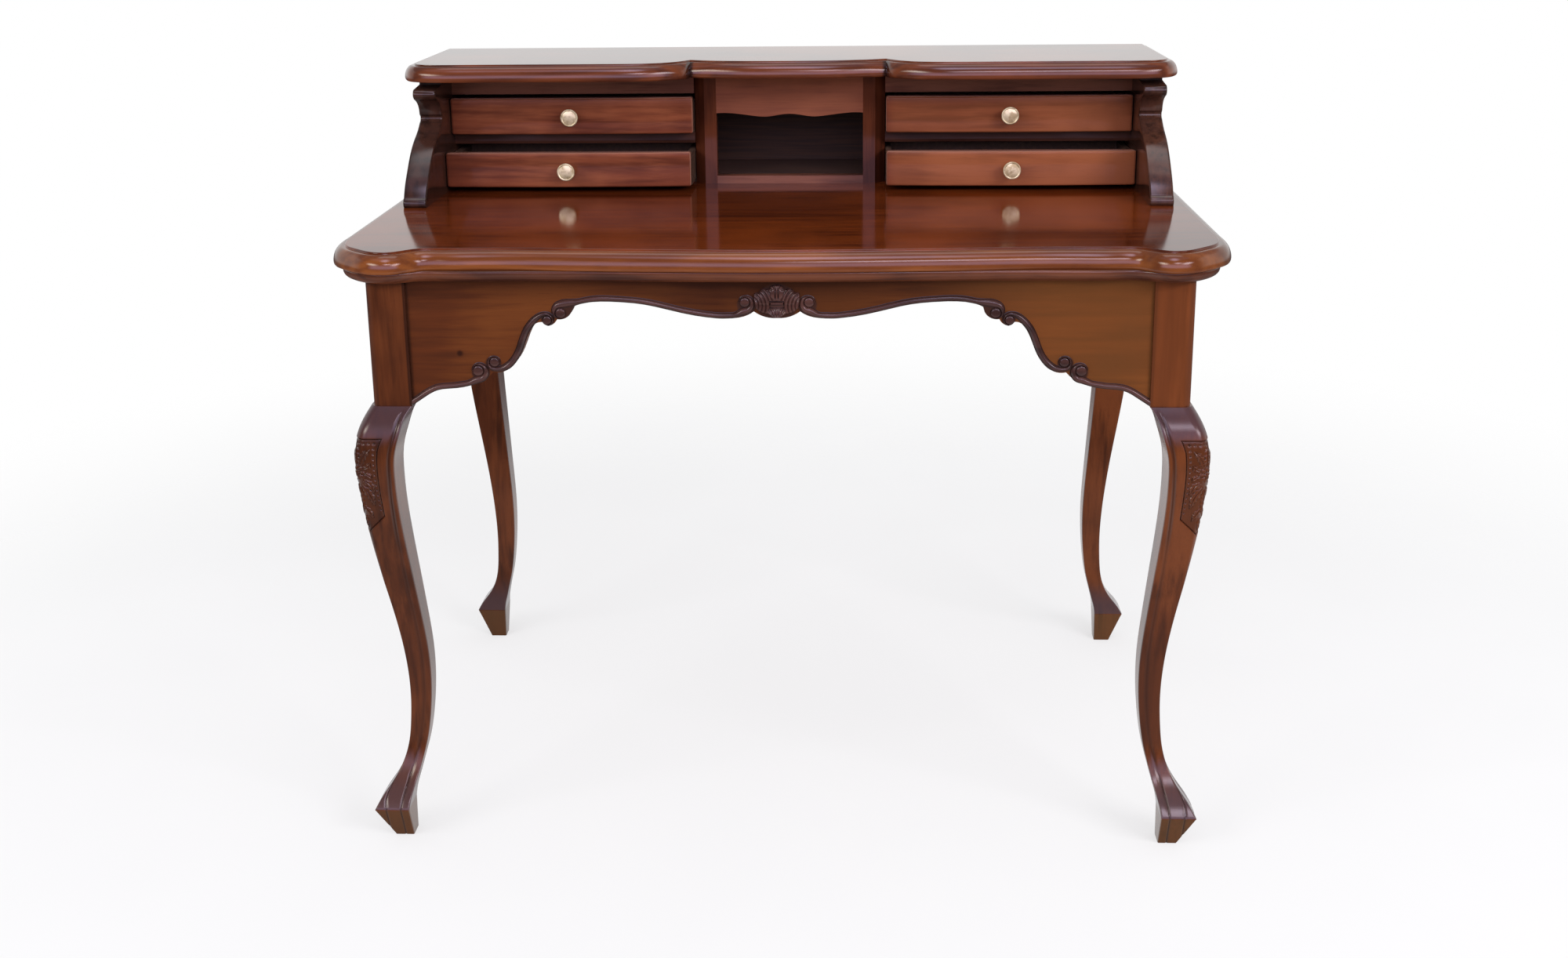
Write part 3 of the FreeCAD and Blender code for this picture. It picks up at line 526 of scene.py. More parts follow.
def makePlainWood(name, recipe):
    finish = Finish(name)
    place = finish.place()
    figure = finish.noise(finish.stretched(place, grainScale(recipe["grain"], grainLong)),
                          26.0, 3.0, 0.6)
    fibre = finish.noise(finish.stretched(place, grainScale(recipe["grain"], grainFine)),
                         480.0, 3.0, 0.6)
    bands = finish.sine(figure * 60.0) * 0.5 + 0.5
    share = finish.between(bands * 0.15 + fibre * 0.85, 0.2, 0.8)
    colour = finish.mixed(share, recipe["dark"], recipe["light"])
    if "rear" in recipe:
        start, full, light, dark = recipe["rear"]
        behind = finish.between(finish.axes(place)[1], start, full)
        colour = finish.mixed(behind, colour, finish.mixed(share, dark, light))
    finish.shade({"Base Color": colour, "Roughness": recipe["rough"] + fibre * 0.2,
                  "Normal": finish.bumped(fibre, 0.2, 0.0002)})


metals = {
    "agedBrass": {"bright": (222, 210, 172), "dull": (180, 162, 124), "rough": 0.34, "metallic": 0.6},
    "screwSteel": {"bright": (150, 148, 145), "dull": (96, 92, 88), "rough": 0.4, "metallic": 1.0},
}


def makeMetal(name, recipe):
    finish = Finish(name)
    place = finish.place()
    brushed = finish.stretched(place, (1, 1, 0.06), turn=(0, 0.6, 0))
    scratch = finish.noise(brushed, 900.0)
    worn = finish.between(finish.noise(place, 90.0, 4.0, 0.65), 0.42, 0.62)
    finish.shade({"Base Color": finish.mixed(worn, recipe["bright"], recipe["dull"]),
                  "Metallic": recipe["metallic"],
                  "Roughness": recipe["rough"] + worn * 0.18 + scratch * 0.08,
                  "Normal": finish.bumped(scratch, 0.08, 0.0001)})


for recipes, makeFinish in ((walnuts, makeWalnut), (plainWoods, makePlainWood), (metals, makeMetal)):
    for finishName, finishRecipe in recipes.items():
        makeFinish(finishName, finishRecipe)
print("finishes made:", len(finishes))


studio = {
    "floorHalf": 4.0, "floorTones": ((238, 238, 240), (247, 247, 248)), "floorGlow": 0.62,
    "floorFade": (1.0, 2.3), "ambientBack": 0.6, "ambientFront": 0.85,
    "roomBehind": (1.0, 1.0, 1.0, 1.0), "roomHigh": (0.3, 0.3, 0.32, 1.0),
    "roomFront": (0.13, 0.12, 0.13, 1.0), "roomZenith": (2.3, 2.3, 2.4, 1.0),
    "roomLilac": (0.55, 0.5, 0.7, 1.0), "roomGlow": (2.7, 2.3, 3.5, 1.0),
    # soft lights that only show in the gloss: direction, reach, how flat they are, colour
    "roomSpots": [((-0.606, -0.673, 0.423), 0.42, 3.2, (13.0, 12.0, 10.5, 1.0)),
                  ((0.16, -0.85, 0.50), 0.30, 3.2, (11.0, 9.6, 11.5, 1.0)),
                  ((0.60, -0.68, 0.42), 0.42, 3.2, (13.0, 11.4, 12.5, 1.0)),
                  ((0.0, -0.52, 0.854), 0.30, 1.0, (5.5, 4.9, 6.8, 1.0))],
    # place, aim, width, height, watts, tint
    "lamps": [((-3.0, -2.4, 2.7), (0.0, 0.0, 0.6), 2.0, 0.6, 40.0, (1.0, 0.98, 1.0)),
              ((2.8, -2.6, 2.5), (0.0, 0.0, 0.6), 2.0, 0.6, 74.0, (1.0, 0.98, 1.0)),
              ((0.0, -4.3, 2.1), (0.0, -0.3, 0.75), 4.0, 1.0, 32.0, (0.95, 0.85, 1.25))],
}


def seenRays(finish):
    # 1 for what the camera sees directly, in a mirror or through glass, and the mirror's share
    paths = finish.add("ShaderNodeLightPath").socket.node.outputs
    camera, glossy, through = (Value(finish, paths[name])
                               for name in ("Is Camera Ray", "Is Glossy Ray", "Is Transmission Ray"))
    return camera + glossy + through, glossy


def makeFloor(settings):
    half = settings["floorHalf"]
    mesh = bpy.data.meshes.new("studio_floor")
    corners = [(-half, -half, 0), (half, -half, 0), (half, half, 0), (-half, half, 0)]
    mesh.from_pydata(corners, [], [(0, 1, 2, 3)])
    finish = Finish("floorPaper")
    place = finish.place()
    colour = finish.mixed(finish.noise(place, 3.0, 3.0), *settings["floorTones"])
    paper = finish.add("ShaderNodeBsdfDiffuse", {}, {"Color": colour})
    glow = finish.add("ShaderNodeEmission", {}, {"Strength": 1.0})
    shine = seenRays(finish)[0] * settings["floorGlow"]
    lit = finish.add("ShaderNodeMixShader", {}, {0: shine, 1: paper, 2: glow})
    clear = finish.add("ShaderNodeBsdfTransparent")
    away = finish.vector("LENGTH", (place,), "Value")
    fade = finish.between(away, *settings["floorFade"])
    surface = finish.add("ShaderNodeMixShader", {}, {0: fade, 1: lit, 2: clear})
    finish.add("ShaderNodeOutputMaterial", {}, {"Surface": surface})
    mesh.materials.append(finishes["floorPaper"])
    floor = added("studio_floor", mesh)


def makeWorld(settings):
    world = bpy.data.worlds.new("studio")
    bpy.context.scene.world = world
    world.use_nodes = True
    sky = Finish("sky", world.node_tree)
    way = sky.place("Generated")
    _, ahead, height = sky.axes(way)
    # for reflections the room is white behind the desk, dim in front, with lilac light overhead
    front = 1 - sky.between(ahead, -0.25, 0.15) * sky.between(height, -0.16, 0.0)
    lilac = sky.between(height, 0.74, 0.84) * sky.between(ahead, -0.06, -0.16)
    glow = (sky.between(height, -0.02, 0.2) * sky.between(height, 0.5, 0.24)
            * sky.between(ahead, -0.55, -0.8))
    room = settings["roomBehind"]
    for share, light in ((sky.between(height, 0.45, 0.6), "roomHigh"), (front, "roomFront"),
                         (sky.between(height, 0.93, 0.97), "roomZenith"), (lilac, "roomLilac"),
                         (glow, "roomGlow")):
        room = sky.mixed(share, room, settings[light])
    for direction, reach, flat, light in settings["roomSpots"]:
        apart = sky.vector("SUBTRACT", (way, direction))
        apart = sky.vector("MULTIPLY", (apart, (1, 1, flat)))
        apart = sky.vector("LENGTH", (apart,), "Value")
        room = sky.mixed(sky.between(apart, reach, 0.02), room, light)
    seen, glossy = seenRays(sky)
    back, face = settings["ambientBack"], settings["ambientFront"]
    ambient = back + sky.between(ahead, 0.3, -0.7) * (face - back)
    shader = sky.add("ShaderNodeBackground", {}, {"Color": sky.mixed(glossy, (1, 1, 1, 1), room),
                                                  "Strength": seen + (1 - seen) * ambient})
    sky.add("ShaderNodeOutputWorld", {}, {"Surface": shader})


def makeLamp(number, place, target, width, height, watts, tint):
    data = bpy.data.lights.new(f"softbox_{number}", "AREA")
    data.shape = "RECTANGLE"
    data.size, data.size_y = width, height
    data.energy = watts
    data.color = tint
    lamp = added(f"softbox_{number}", data)
    aim = (Vector(target) - Vector(place)).to_track_quat("-Z", "Y")
    lamp.matrix_world = Matrix.Translation(place) @ aim.to_matrix().to_4x4()
    lamp.visible_glossy = False     # the room's own soft spots show in the gloss instead


makeFloor(studio)
makeWorld(studio)
for lampNumber, lampSettings in enumerate(studio["lamps"]):
    makeLamp(lampNumber, *lampSettings)
print("studio ready")


legSizes = {
    "halfWidth": 490.0, "depth": 616.0, "post": 49.5, "postRound": 14.0, "arris": 1.5,
    "kneeZ": 573.0, "frameTop": 741.0,
    # share of the knee height, reach beyond the post's outer face, thickness beyond the post
    "curve": [(1.0, 2.0, 2.0), (0.985, 7.5, 1.5), (0.95, 17.0, 3.5), (0.905, 21.8, 1.5),
              (0.853, 21.6, -0.7), (0.8, 18.7, -3.1), (0.72, 12.6, -6.3), (0.6, 0.8, -12.0),
              (0.515, -7.4, -15.9), (0.41, -14.9, -19.4), (0.31, -16.9, -23.0), (0.26, -15.4, -24.5),
              (0.216, -12.6, -25.9), (0.171, -5.6, -25.5), (0.132, 6.4, -19.7), (0.098, 20.4, -10.9),
              (0.078, 27.0, -6.0)],
    "roundFull": 0.85, "roundEnd": 0.60, "footReach": 7.5, "footBase": 23.5, "footStep": 0.4,
    # points on an inner and an outer face, and rows on the foot
    "carvedCounts": (10, 66, 22), "plainCounts": (8, 22, 8), "plainRows": 150,
    "carvedRows": (34, 212, 122),
    # two fine grooves on the foot: from the inner edge on the toe; the outer one runs off upwards
    "footGroove": {"inner": 11.0, "outer": 29.5, "width": 0.9, "depth": 1.1, "toe": 44.7, "rise": 46.0},
    # the flute down the shaft: from the inner edge; heights where it starts, ends and deepens
    "flute": {"inner": 10.0, "width": 2.3, "depth": 1.5, "start": (46, 70), "end": (556, 572),
              "deepen": (380, 440)},
    # lambrequin panel on the knee: (from the outer corner, height)
    "panel": [(-30.0, 537.0), (30.0, 537.0), (27.0, 522.0), (25.5, 480.0), (24.5, 437.0), (0.0, 415.5),
              (-24.5, 437.0), (-25.5, 480.0), (-27.0, 522.0)],
    "carvedZ": (405, 540), "sunk": 0.8, "outlineCut": 1.3,
    "dotStep": 6.6, "dotColumn": 21.4, "dotTop": 531.5, "dotRadius": 1.25, "dotDepth": 1.1,
    "dotRows": 14, "dotsAcross": 4, "dotStart": 1.6,
    # leaves on one face: base, tip, half width, sideways bow
    "leaves": [((0, 505), (0, 529), 3.6, 0.0), ((4, 503), (17, 524), 4.4, 2.4),
               ((9, 500), (18, 508), 3.2, -2.0), ((9, 493), (18, 486), 3.2, 2.0),
               ((7, 486), (18, 468), 4.2, 3.0), ((3, 479), (15, 451), 4.6, 3.4),
               ((0, 476), (0, 446), 4.0, 0.0), ((1, 452), (10, 434), 3.2, 1.6),
               ((0, 440), (0, 422), 3.0, 0.0)],
    "flower": (0.0, 495.0), "petals": 8, "petalReach": 10.5, "leafHeight": 2.0,
    "bud": 3.4, "budRing": 4.2, "budRingWidth": 0.7,
}


def outlineDistance(points, outline):
    # distance to a closed outline, positive inside
    x, z = points
    outline = np.array(outline, float)
    best = np.full(x.shape, 1e9)
    inside = np.zeros(x.shape, bool)
    for (x0, z0), (x1, z1) in zip(outline, np.roll(outline, -1, axis=0)):
        dx, dz = x1 - x0, z1 - z0
        share = np.clip(((x - x0) * dx + (z - z0) * dz) / (dx * dx + dz * dz), 0, 1)
        best = np.minimum(best, np.hypot(x - x0 - share * dx, z - z0 - share * dz))
        crosses = (z0 > z) != (z1 > z)
        where = x0 + (z - z0) * dx / (dz if dz else 1e-9)
        inside ^= crosses & (x < where)
    return np.where(inside, best, -best)


def dome(away, reach, power):
    return np.clip(1 - (away / reach) ** 2, 0, 1) ** power


def leafRelief(x, z, leaf, height):
    (x0, z0), (x1, z1), halfWidth, bow = leaf
    length = math.hypot(x1 - x0, z1 - z0)
    ux, uz = (x1 - x0) / length, (z1 - z0) / length
    along = ((x - x0) * ux + (z - z0) * uz) / length
    t = np.clip(along, 0, 1)
    across = (z - z0) * ux - (x - x0) * uz - bow * np.sin(math.pi * t)
    width = halfWidth * np.sin(math.pi * t ** 0.75) ** 0.8 * (1 + 0.2 * np.sin(t * length * 1.1)) + 1e-3
    body = dome(across, width, 0.5)
    rib = bump(across, 0.6) * 0.5
    return height * np.where((along > 0) & (along < 1), body * (0.55 + 0.45 * t) - rib * body, 0)


def kneeRelief(across, z):
    # carving on the knee; across is measured from the outer corner, both ways alike
    sizes = legSizes
    side = np.abs(across)
    edge = outlineDistance((across, z), sizes["panel"])
    ground = -sizes["sunk"] * ramp(edge, 0.0, 0.8)
    cut = -sizes["outlineCut"] * bump(edge - 0.6, 0.75)
    inside = ramp(edge, 1.4, 2.6)
    carved = np.zeros_like(side)
    for leaf in sizes["leaves"]:
        carved = np.maximum(carved, leafRelief(side, z, leaf, sizes["leafHeight"]))
    flowerX, flowerZ = sizes["flower"]
    away = np.hypot(z - flowerZ, across - flowerX)
    lobes = np.abs(np.cos(np.arctan2(z - flowerZ, across - flowerX) * sizes["petals"] / 2))
    bloom = dome(away, sizes["petalReach"] * (0.62 + 0.38 * lobes), 0.6) * (0.6 + 0.4 * lobes)
    bud = dome(away, sizes["bud"], 0.5)
    ring = bump(away - sizes["budRing"], sizes["budRingWidth"])
    carved = np.maximum(carved, sizes["leafHeight"] * 1.15 * bloom) + 0.9 * bud - 0.6 * ring
    spots = np.zeros_like(side)
    step, column, top, radius = (sizes[key] for key in ("dotStep", "dotColumn", "dotTop", "dotRadius"))
    for row in range(sizes["dotRows"]):
        spots += np.exp(-(((side - column) / radius) ** 2 + ((z - top + row * step) / radius) ** 2))
    for dot in range(sizes["dotsAcross"]):
        place = dot * step + sizes["dotStart"]
        spots += np.exp(-(((side - place) / radius) ** 2 + ((z - top) / radius) ** 2))
    return ground + cut + carved * inside - sizes["dotDepth"] * spots * inside


def legRing(sizes, reach, extra, corner, few, many):
    # one section of a leg, and each point's outward way and distance from the outer corner
    low, high = reach - (sizes["post"] + extra), reach
    centre, half = (low + high) / 2, (high - low) / 2
    arris = min(sizes["arris"], half * 0.3)
    onArris, onCorner = 3, max(5, many // 3)
    points, normals = [], []

    def arc(cornerX, cornerY, radius, startAngle, count):
        cx = centre + cornerX * (half - radius)
        cy = centre + cornerY * (half - radius)
        for angle in np.linspace(startAngle, startAngle + math.pi / 2, count):
            points.append((cx + radius * math.cos(angle), cy + radius * math.sin(angle)))
            normals.append((math.cos(angle), math.sin(angle)))

    def side(start, end, normal, count):
        for share in np.linspace(0, 1, count + 2)[1:-1]:
            points.append(tuple(np.array(start) * (1 - share) + np.array(end) * share))
            normals.append(normal)

    arc(-1, -1, arris, math.pi, onArris)
    side((low + arris, low), (high - arris, low), (0, -1), few)
    arc(1, -1, arris, -math.pi / 2, onArris)
    side((high, low + arris), (high, high - corner), (1, 0), many)
    arc(1, 1, corner, 0, onCorner)
    side((high - corner, high), (low + arris, high), (0, 1), many)
    arc(-1, 1, arris, math.pi / 2, onArris)
    side((low, high - arris), (low, low + arris), (-1, 0), few)
    points, normals = np.array(points), np.array(normals)
    # distance round the section from the outer corner's middle: + on the front, - on the side
    steps = np.linalg.norm(np.diff(points, axis=0, append=points[:1]), axis=1)
    walk = np.concatenate([[0], np.cumsum(steps)[:-1]])
    return points, normals, walk - walk[onArris + few + onArris + many + onCorner // 2]


def legStations(sizes, carved):
    # heights down the leg, closest together over the carving
    knee, last = sizes["kneeZ"], sizes["curve"][-1][0]
    if not carved:
        return np.linspace(1.0, last, sizes["plainRows"]) * knee
    low, high = sizes["panel"][5][1] - 3, sizes["panel"][0][1] + 3
    above, over, below = sizes["carvedRows"]
    parts = [np.linspace(knee, high, above)[:-1], np.linspace(high, low, over)[:-1],
             np.linspace(low, last * knee, below)]
    return np.concatenate(parts)


def carvedLift(sizes, z, span, across):
    # what the carver takes off or leaves on at height z, and how deep it lies, 0 to 1; the depth is
    # painted as shade in the finish
    lift, hollow = np.zeros(len(across)), np.zeros(len(across))
    onFace = np.abs(across) < span - 1.0
    fromInner = span - np.abs(across)
    flute, groove = sizes["flute"], sizes["footGroove"]
    fade = (ramp(z, *flute["start"]) * (1 - ramp(z, *flute["end"]))
            * (0.55 + 0.45 * ramp(z, *flute["deepen"])))
    cut = bump(fromInner - flute["inner"], flute["width"])
    lift -= flute["depth"] * cut * fade * onFace
    hollow = np.maximum(hollow, 0.75 * cut * fade * onFace)
    if sizes["carvedZ"][0] < z < sizes["carvedZ"][1]:
        level = np.full(len(across), z)
        lift += kneeRelief(across, level) * onFace
        panel = ramp(outlineDistance((across, level), sizes["panel"]), 0.0, 1.0)
        # the recesses, the grooves and the whole sunk panel get painted shade
        for deep in (hollowOf(kneeRelief, across, level, 1.1, 0.5), 0.5 * ramp(-lift, 0.3, 0.8),
                     0.4 * panel):
            hollow = np.maximum(hollow, deep * onFace)
    if z < groove["toe"] + groove["rise"]:
        climb = max(0.0, z - groove["toe"]) / groove["rise"]
        outer = groove["outer"] + (span - groove["outer"]) * climb
        cut = (bump(fromInner - outer, groove["width"])
               + bump(fromInner - groove["inner"], groove["width"]))
        cut = cut * (1 - ramp(climb, 0.85, 1.0)) * onFace
        lift -= groove["depth"] * cut
        hollow = np.maximum(hollow, 0.9 * cut)
    return lift, hollow


def makeLeg(front, right):
    # the front legs are carved
    sizes = legSizes
    knee, bare = sizes["kneeZ"], 0.05
    few, many, footRows = sizes["carvedCounts" if front else "plainCounts"]
    curve = smoothLine([(share * knee, reach, extra) for share, reach, extra in sizes["curve"]], 700)
    heights = legStations(sizes, front)
    stations = list(zip(heights, np.interp(-heights, -curve[:, 0], curve[:, 1]),
                        np.interp(-heights, -curve[:, 0], curve[:, 2])))
    post = [(knee + bare + (sizes["frameTop"] - knee - bare) * share, 0.0, 0.0)
            for share in np.linspace(0, 1, 12)[::-1]]
    _, lastReach, lastExtra = sizes["curve"][-1]
    footExtra = sizes["footBase"] - sizes["post"]
    foot = [(curve[-1][0] * share, sizes["footReach"] + (lastReach - sizes["footReach"]) * share,
             footExtra + (lastExtra - footExtra) * share)
            for share in np.linspace(0, 1, footRows)[::-1]]
    foot[0] = (foot[0][0] - sizes["footStep"], foot[0][1], foot[0][2])
    rings, hollows = [], []
    for z, reach, extra in post + stations + foot:
        grow = (z / knee - sizes["roundEnd"]) / (sizes["roundFull"] - sizes["roundEnd"])
        corner = sizes["arris"] + (sizes["postRound"] - sizes["arris"]) * min(1.0, max(0.0, grow))
        points, normals, across = legRing(sizes, reach, extra, corner, few, many)
        lift, hollow = np.zeros(len(points)), np.zeros(len(points))
        if front and z < knee:
            lift, hollow = carvedLift(sizes, z, sizes["post"] + extra, across)
        flat = points + normals * lift[:, None]
        x = sizes["halfWidth"] + flat[:, 0]
        y = -flat[:, 1] if front else sizes["depth"] + flat[:, 1]
        rings.append(np.stack([x if right else -x, y, np.full(len(x), z)], axis=1))
        hollows.append(hollow)
    node = f"leg_{'front' if front else 'rear'}_{'right' if right else 'left'}"
    leg = pieceFrom(f"{node}_turned", placed(rings), "legWalnut", 42, hollows)
    settle(leg, [node])


for legFront in (True, False):
    for legRight in (True, False):
        makeLeg(legFront, legRight)
print("legs made")


deskTop = {
    "halfSpan": 440.5, "halfWidth": 490.0, "depth": 616.0, "rear": 4.0, "height": 765.0, "thick": 24.0,
    "middle": [(0, 7), (.33, 1.5), (.545, -4), (.705, -8.5), (.806, -8.5), (.888, -8)],
    "lobe": [(-65, -4.5), (-45, 12), (-32, 17), (-18, 14.5), (3, -2), (21, -21)],
    "side": 32.0, "sideStart": 58.0, "sideLead": 35.0, "edge": 15.0,
    "profile": [[(-.16, 0), (-.05, 0)], [(-.05, 0), (-.015, .008), (.008, .03), (.02, .062)],
                [(.02, .062), (.03, .085), (.06, .094)], [(.06, .094), (.25, .10)],
                [(.25, .10), (.30, .103), (.62, .22), (.85, .42), (.97, .65), (1, .80), (.975, .93),
                 (.90, 1)]],
}

underMoulding = {
    "middle": [(0, 8), (.33, 4.5), (.705, 2), (.888, 2)],
    "lobe": [(-64, 3), (-45, 12), (-32, 15.5), (-17, 13), (3, 1), (17, -16)],
    "side": 23.0, "sideStart": 50.0, "height": 14.0, "edge": 9.0, "inset": 10.0,
    "profile": [[(.75, 0), (.93, .06), (1, .18)],
                [(1, .18), (.93, .45), (.68, .72), (.25, .92), (0, 1)]],
}


def edgedRings(sizes, profile, samples, rear, high, thick):
    # the plan of a moulded edge from the rear left round the front to the rear right, at every
    # step of its profile
    right = [(deskTop["halfSpan"] * share, -reach) for share, reach in sizes["middle"]]
    right += [(deskTop["halfWidth"] + beyond, -reach) for beyond, reach in sizes["lobe"]]
    edge = deskTop["halfWidth"] + sizes["side"]
    right += [(edge, sizes["sideStart"]), (edge, sizes["sideStart"] + deskTop["sideLead"])]
    line = [(-x, y) for x, y in right[:0:-1]] + right
    rings = []
    for out, down in profile:
        front = smoothLine(shifted(line, sizes["edge"] * out), samples)
        half = front[-1][0]
        run = np.linspace(front[-1][1], rear, 14)[1:]
        path = np.concatenate([[(-half, y) for y in run[::-1]], front, [(half, y) for y in run]])
        rings.append(np.column_stack([path, np.full(len(path), high - thick * down)]))
    return rings


def makeWritingTop():
    sizes = deskTop
    rings = edgedRings(sizes, smoothRuns(sizes["profile"], 0.03), 460, sizes["depth"] + sizes["rear"],
                       sizes["height"], sizes["thick"])
    settle(pieceFrom("writing_board", placed(rings), "topWalnut"), ["writing_top"])


def makeUnderMoulding():
    sizes = underMoulding
    top = deskTop["height"] - deskTop["thick"]
    rows = edgedRings(sizes, smoothRuns(sizes["profile"], 0.06), 380, deskTop["depth"], top,
                      sizes["height"])
    inner = deskTop["halfWidth"] - sizes["inset"]
    base = rows[-1]
    for height in (top - sizes["height"], top):
        x = np.clip(base[:, 0], -inner, inner)
        y = np.clip(base[:, 1], sizes["inset"], deskTop["depth"])
        rows.append(np.column_stack([x, y, np.full(len(x), height)]))
    strip = pieceFrom("under_moulding", placed(np.array(rows).transpose(1, 0, 2)), "mouldWalnut")
    settle(strip, ["moulding_front", "moulding_left", "moulding_right"])


makeWritingTop()
makeUnderMoulding()
print("writing top made")


scrolls = {
    "faceY": 4.0, "proud": 3.4, "rimProud": 0.3, "rim": 0.9, "eyeAround": 32,
    "beadAround": 18, "woodStep": 8, "beadStep": 0.9, "eyeGap": 0.35,
    # centre, eye's radius, outer radius at every quarter turn from where the bead arrives,
    # the side it arrives on (degrees) and the way it turns
    "volutes": {
        "shell": ((38.0, 700.2), 5.7, (15.2, 11.2, 7.9, 6.0), -90, -1),
        "arch": ((256.8, 687.1), 5.8, (15.2, 9.8, 6.2), 90, -1),
        "step": ((273.0, 678.4), 5.3, (10.0, 7.4, 5.6), 90, 1),
        "foot": ((338.5, 627.2), 5.7, (11.3, 8.9, 6.8, 5.9), -90, 1),
        "knee": ((358.8, 616.4), 6.3, (15.0, 12.6, 9.6, 6.6), -90, -1),
    },
    # from volute, wood's edge under the bead, half width, to volute
    "runs": [
        ("shell", [(48, 681.4), (60, 680.2), (82, 681.6), (118, 688.3), (155.5, 697), (190, 700.5),
                   (217.6, 700.6), (234, 697.6)], 2.9, "arch"),
        ("step", [(287.2, 674), (292.9, 667), (300.9, 649.4), (312.3, 626.9), (322, 618)], 3.5, "foot"),
        ("knee", [(369.1, 597.5), (389, 594), (409.7, 591.5), (426.8, 582), (441.5, 572.4)], 3.0, None),
    ],
    # the eye, a low turned button: radius as a share, height
    "eyeRuns": [[(1.16, 0.0), (1.16, 0.3)], [(1.16, 0.3), (1.0, 0.3)],
                [(1.0, 0.3), (0.98, 1.7), (0.88, 2.3)], [(0.88, 2.3), (0.5, 2.62), (0.02, 2.7)]],
}


def voluteLine(sizes, name):
    # centre line and half width of the bead from its arrival to where it joins the eye
    (centreX, centreZ), eye, outer, start, turn = sizes["volutes"][name]
    turns = np.linspace(0, len(outer) - 1, 5 * (len(outer) - 1) + 1)
    reach = np.interp(turns, range(len(outer)), outer)
    inner = eye + sizes["eyeGap"]
    angle = np.radians(start + turn * 90 * turns)
    middle = (reach + inner) / 2
    half = np.maximum((reach - inner) / 2 - sizes["rim"] * 0.4, 0.5)
    return np.stack([centreX + middle * np.cos(angle), centreZ + middle * np.sin(angle), half], axis=1)


def beadPath(sizes, start, edge, half, end):
    wood = smoothLine(edge, max(6, int(abs(edge[-1][0] - edge[0][0]) / sizes["woodStep"])))
    middle = shifted(wood, -(half + sizes["rim"]))
    path = [voluteLine(sizes, start)[::-1], np.column_stack([middle, np.full(len(middle), half)])]
    if end:
        path.append(voluteLine(sizes, end))
    path = np.concatenate(path)
    length = np.linalg.norm(np.diff(path[:, :2], axis=0), axis=1).sum()
    return smoothLine(path, int(length / sizes["beadStep"]))


def makeScrollTree():
    tree = bpy.data.node_groups.new("scrollBead", "GeometryNodeTree")
    sockets = {"Path": "Geometry", "Face": "Float", "Proud": "Float", "Rim": "Float",
               "Rim Proud": "Float", "Around": "Int", "Eyes": "Object", "Eye": "Object",
               "Wood": "Material"}
    for name, kind in sockets.items():
        tree.interface.new_socket(name, in_out="INPUT", socket_type=f"NodeSocket{kind}")
    tree.interface.new_socket("Carving", in_out="OUTPUT", socket_type="NodeSocketGeometry")

    def node(kind, values=None, **settings):
        # a value is a number, another node's first output, or a node and the output's name
        made = tree.nodes.new(kind)
        for key, value in settings.items():
            setattr(made, key, value)
        for key, value in (values or {}).items():
            if isinstance(value, bpy.types.Node):
                value = (value, 0)
            if isinstance(value, tuple):
                tree.links.new(value[0].outputs[value[1]], made.inputs[key])
            else:
                made.inputs[key].default_value = value
        return made

    def stored(geometry, name, value):
        values = {"Geometry": geometry, "Name": name, "Value": value}
        return node("GeometryNodeStoreNamedAttribute", values, data_type="FLOAT", domain="POINT")

    given = node("NodeGroupInput")
    width = node("GeometryNodeInputRadius")
    path = stored((given, "Path"), "halfWidth", width)
    ring = node("GeometryNodeCurvePrimitiveCircle", {"Resolution": (given, "Around"), "Radius": 1.0})
    axes = node("ShaderNodeSeparateXYZ", {0: node("GeometryNodeInputPosition")})
    half = node("GeometryNodeInputNamedAttribute", {"Name": "halfWidth"}, data_type="FLOAT")

    def swept(extra, proud):
        # the path swept with a ring, then flattened to the height that it stands out
        grown = node("ShaderNodeMath", {0: width, 1: extra}, operation="ADD")
        tube = node("GeometryNodeCurveToMesh", {"Curve": path, "Profile Curve": ring, "Scale": grown,
                                                "Fill Caps": True})
        whole = node("ShaderNodeMath", {0: half, 1: extra}, operation="ADD")
        above = node("ShaderNodeMath", {0: (axes, "Y"), 1: (given, "Face")}, operation="SUBTRACT")
        share = node("ShaderNodeMath", {0: above, 1: whole}, operation="DIVIDE")
        height = node("ShaderNodeMath", {0: share, 1: proud, 2: (given, "Face")},
                      operation="MULTIPLY_ADD")
        moved = node("ShaderNodeCombineXYZ", {0: (axes, "X"), 1: height, 2: (axes, "Z")})
        return node("GeometryNodeSetPosition", {"Geometry": tube, "Position": moved})

    bead = swept(0.0, (given, "Proud"))
    # the quirk round the bead is marked wholly hollow, so it is painted dark as shade
    quirk = stored(swept((given, "Rim"), (given, "Rim Proud")), "hollow", 1.0)
    eyes = node("GeometryNodeObjectInfo", {"Object": (given, "Eyes")})
    eye = node("GeometryNodeObjectInfo", {"Object": (given, "Eye")})
    size = node("GeometryNodeInputNamedAttribute", {"Name": "size"}, data_type="FLOAT")
    spots = node("GeometryNodeMeshToPoints", {"Mesh": (eyes, "Geometry")})
    scale = node("ShaderNodeCombineXYZ", {0: size, 1: 1.0, 2: size})
    discs = node("GeometryNodeInstanceOnPoints", {"Points": spots, "Instance": (eye, "Geometry"),
                                                  "Scale": scale})
    joined = node("GeometryNodeJoinGeometry")
    for part in (bead, quirk, discs):
        tree.links.new(part.outputs[0], joined.inputs[0])
    real = node("GeometryNodeRealizeInstances", {"Geometry": joined})
    smooth = node("GeometryNodeSetShadeSmooth", {"Geometry": real})
    painted = node("GeometryNodeSetMaterial", {"Geometry": smooth, "Material": (given, "Wood")})
    node("NodeGroupOutput", {"Carving": painted})
    return tree


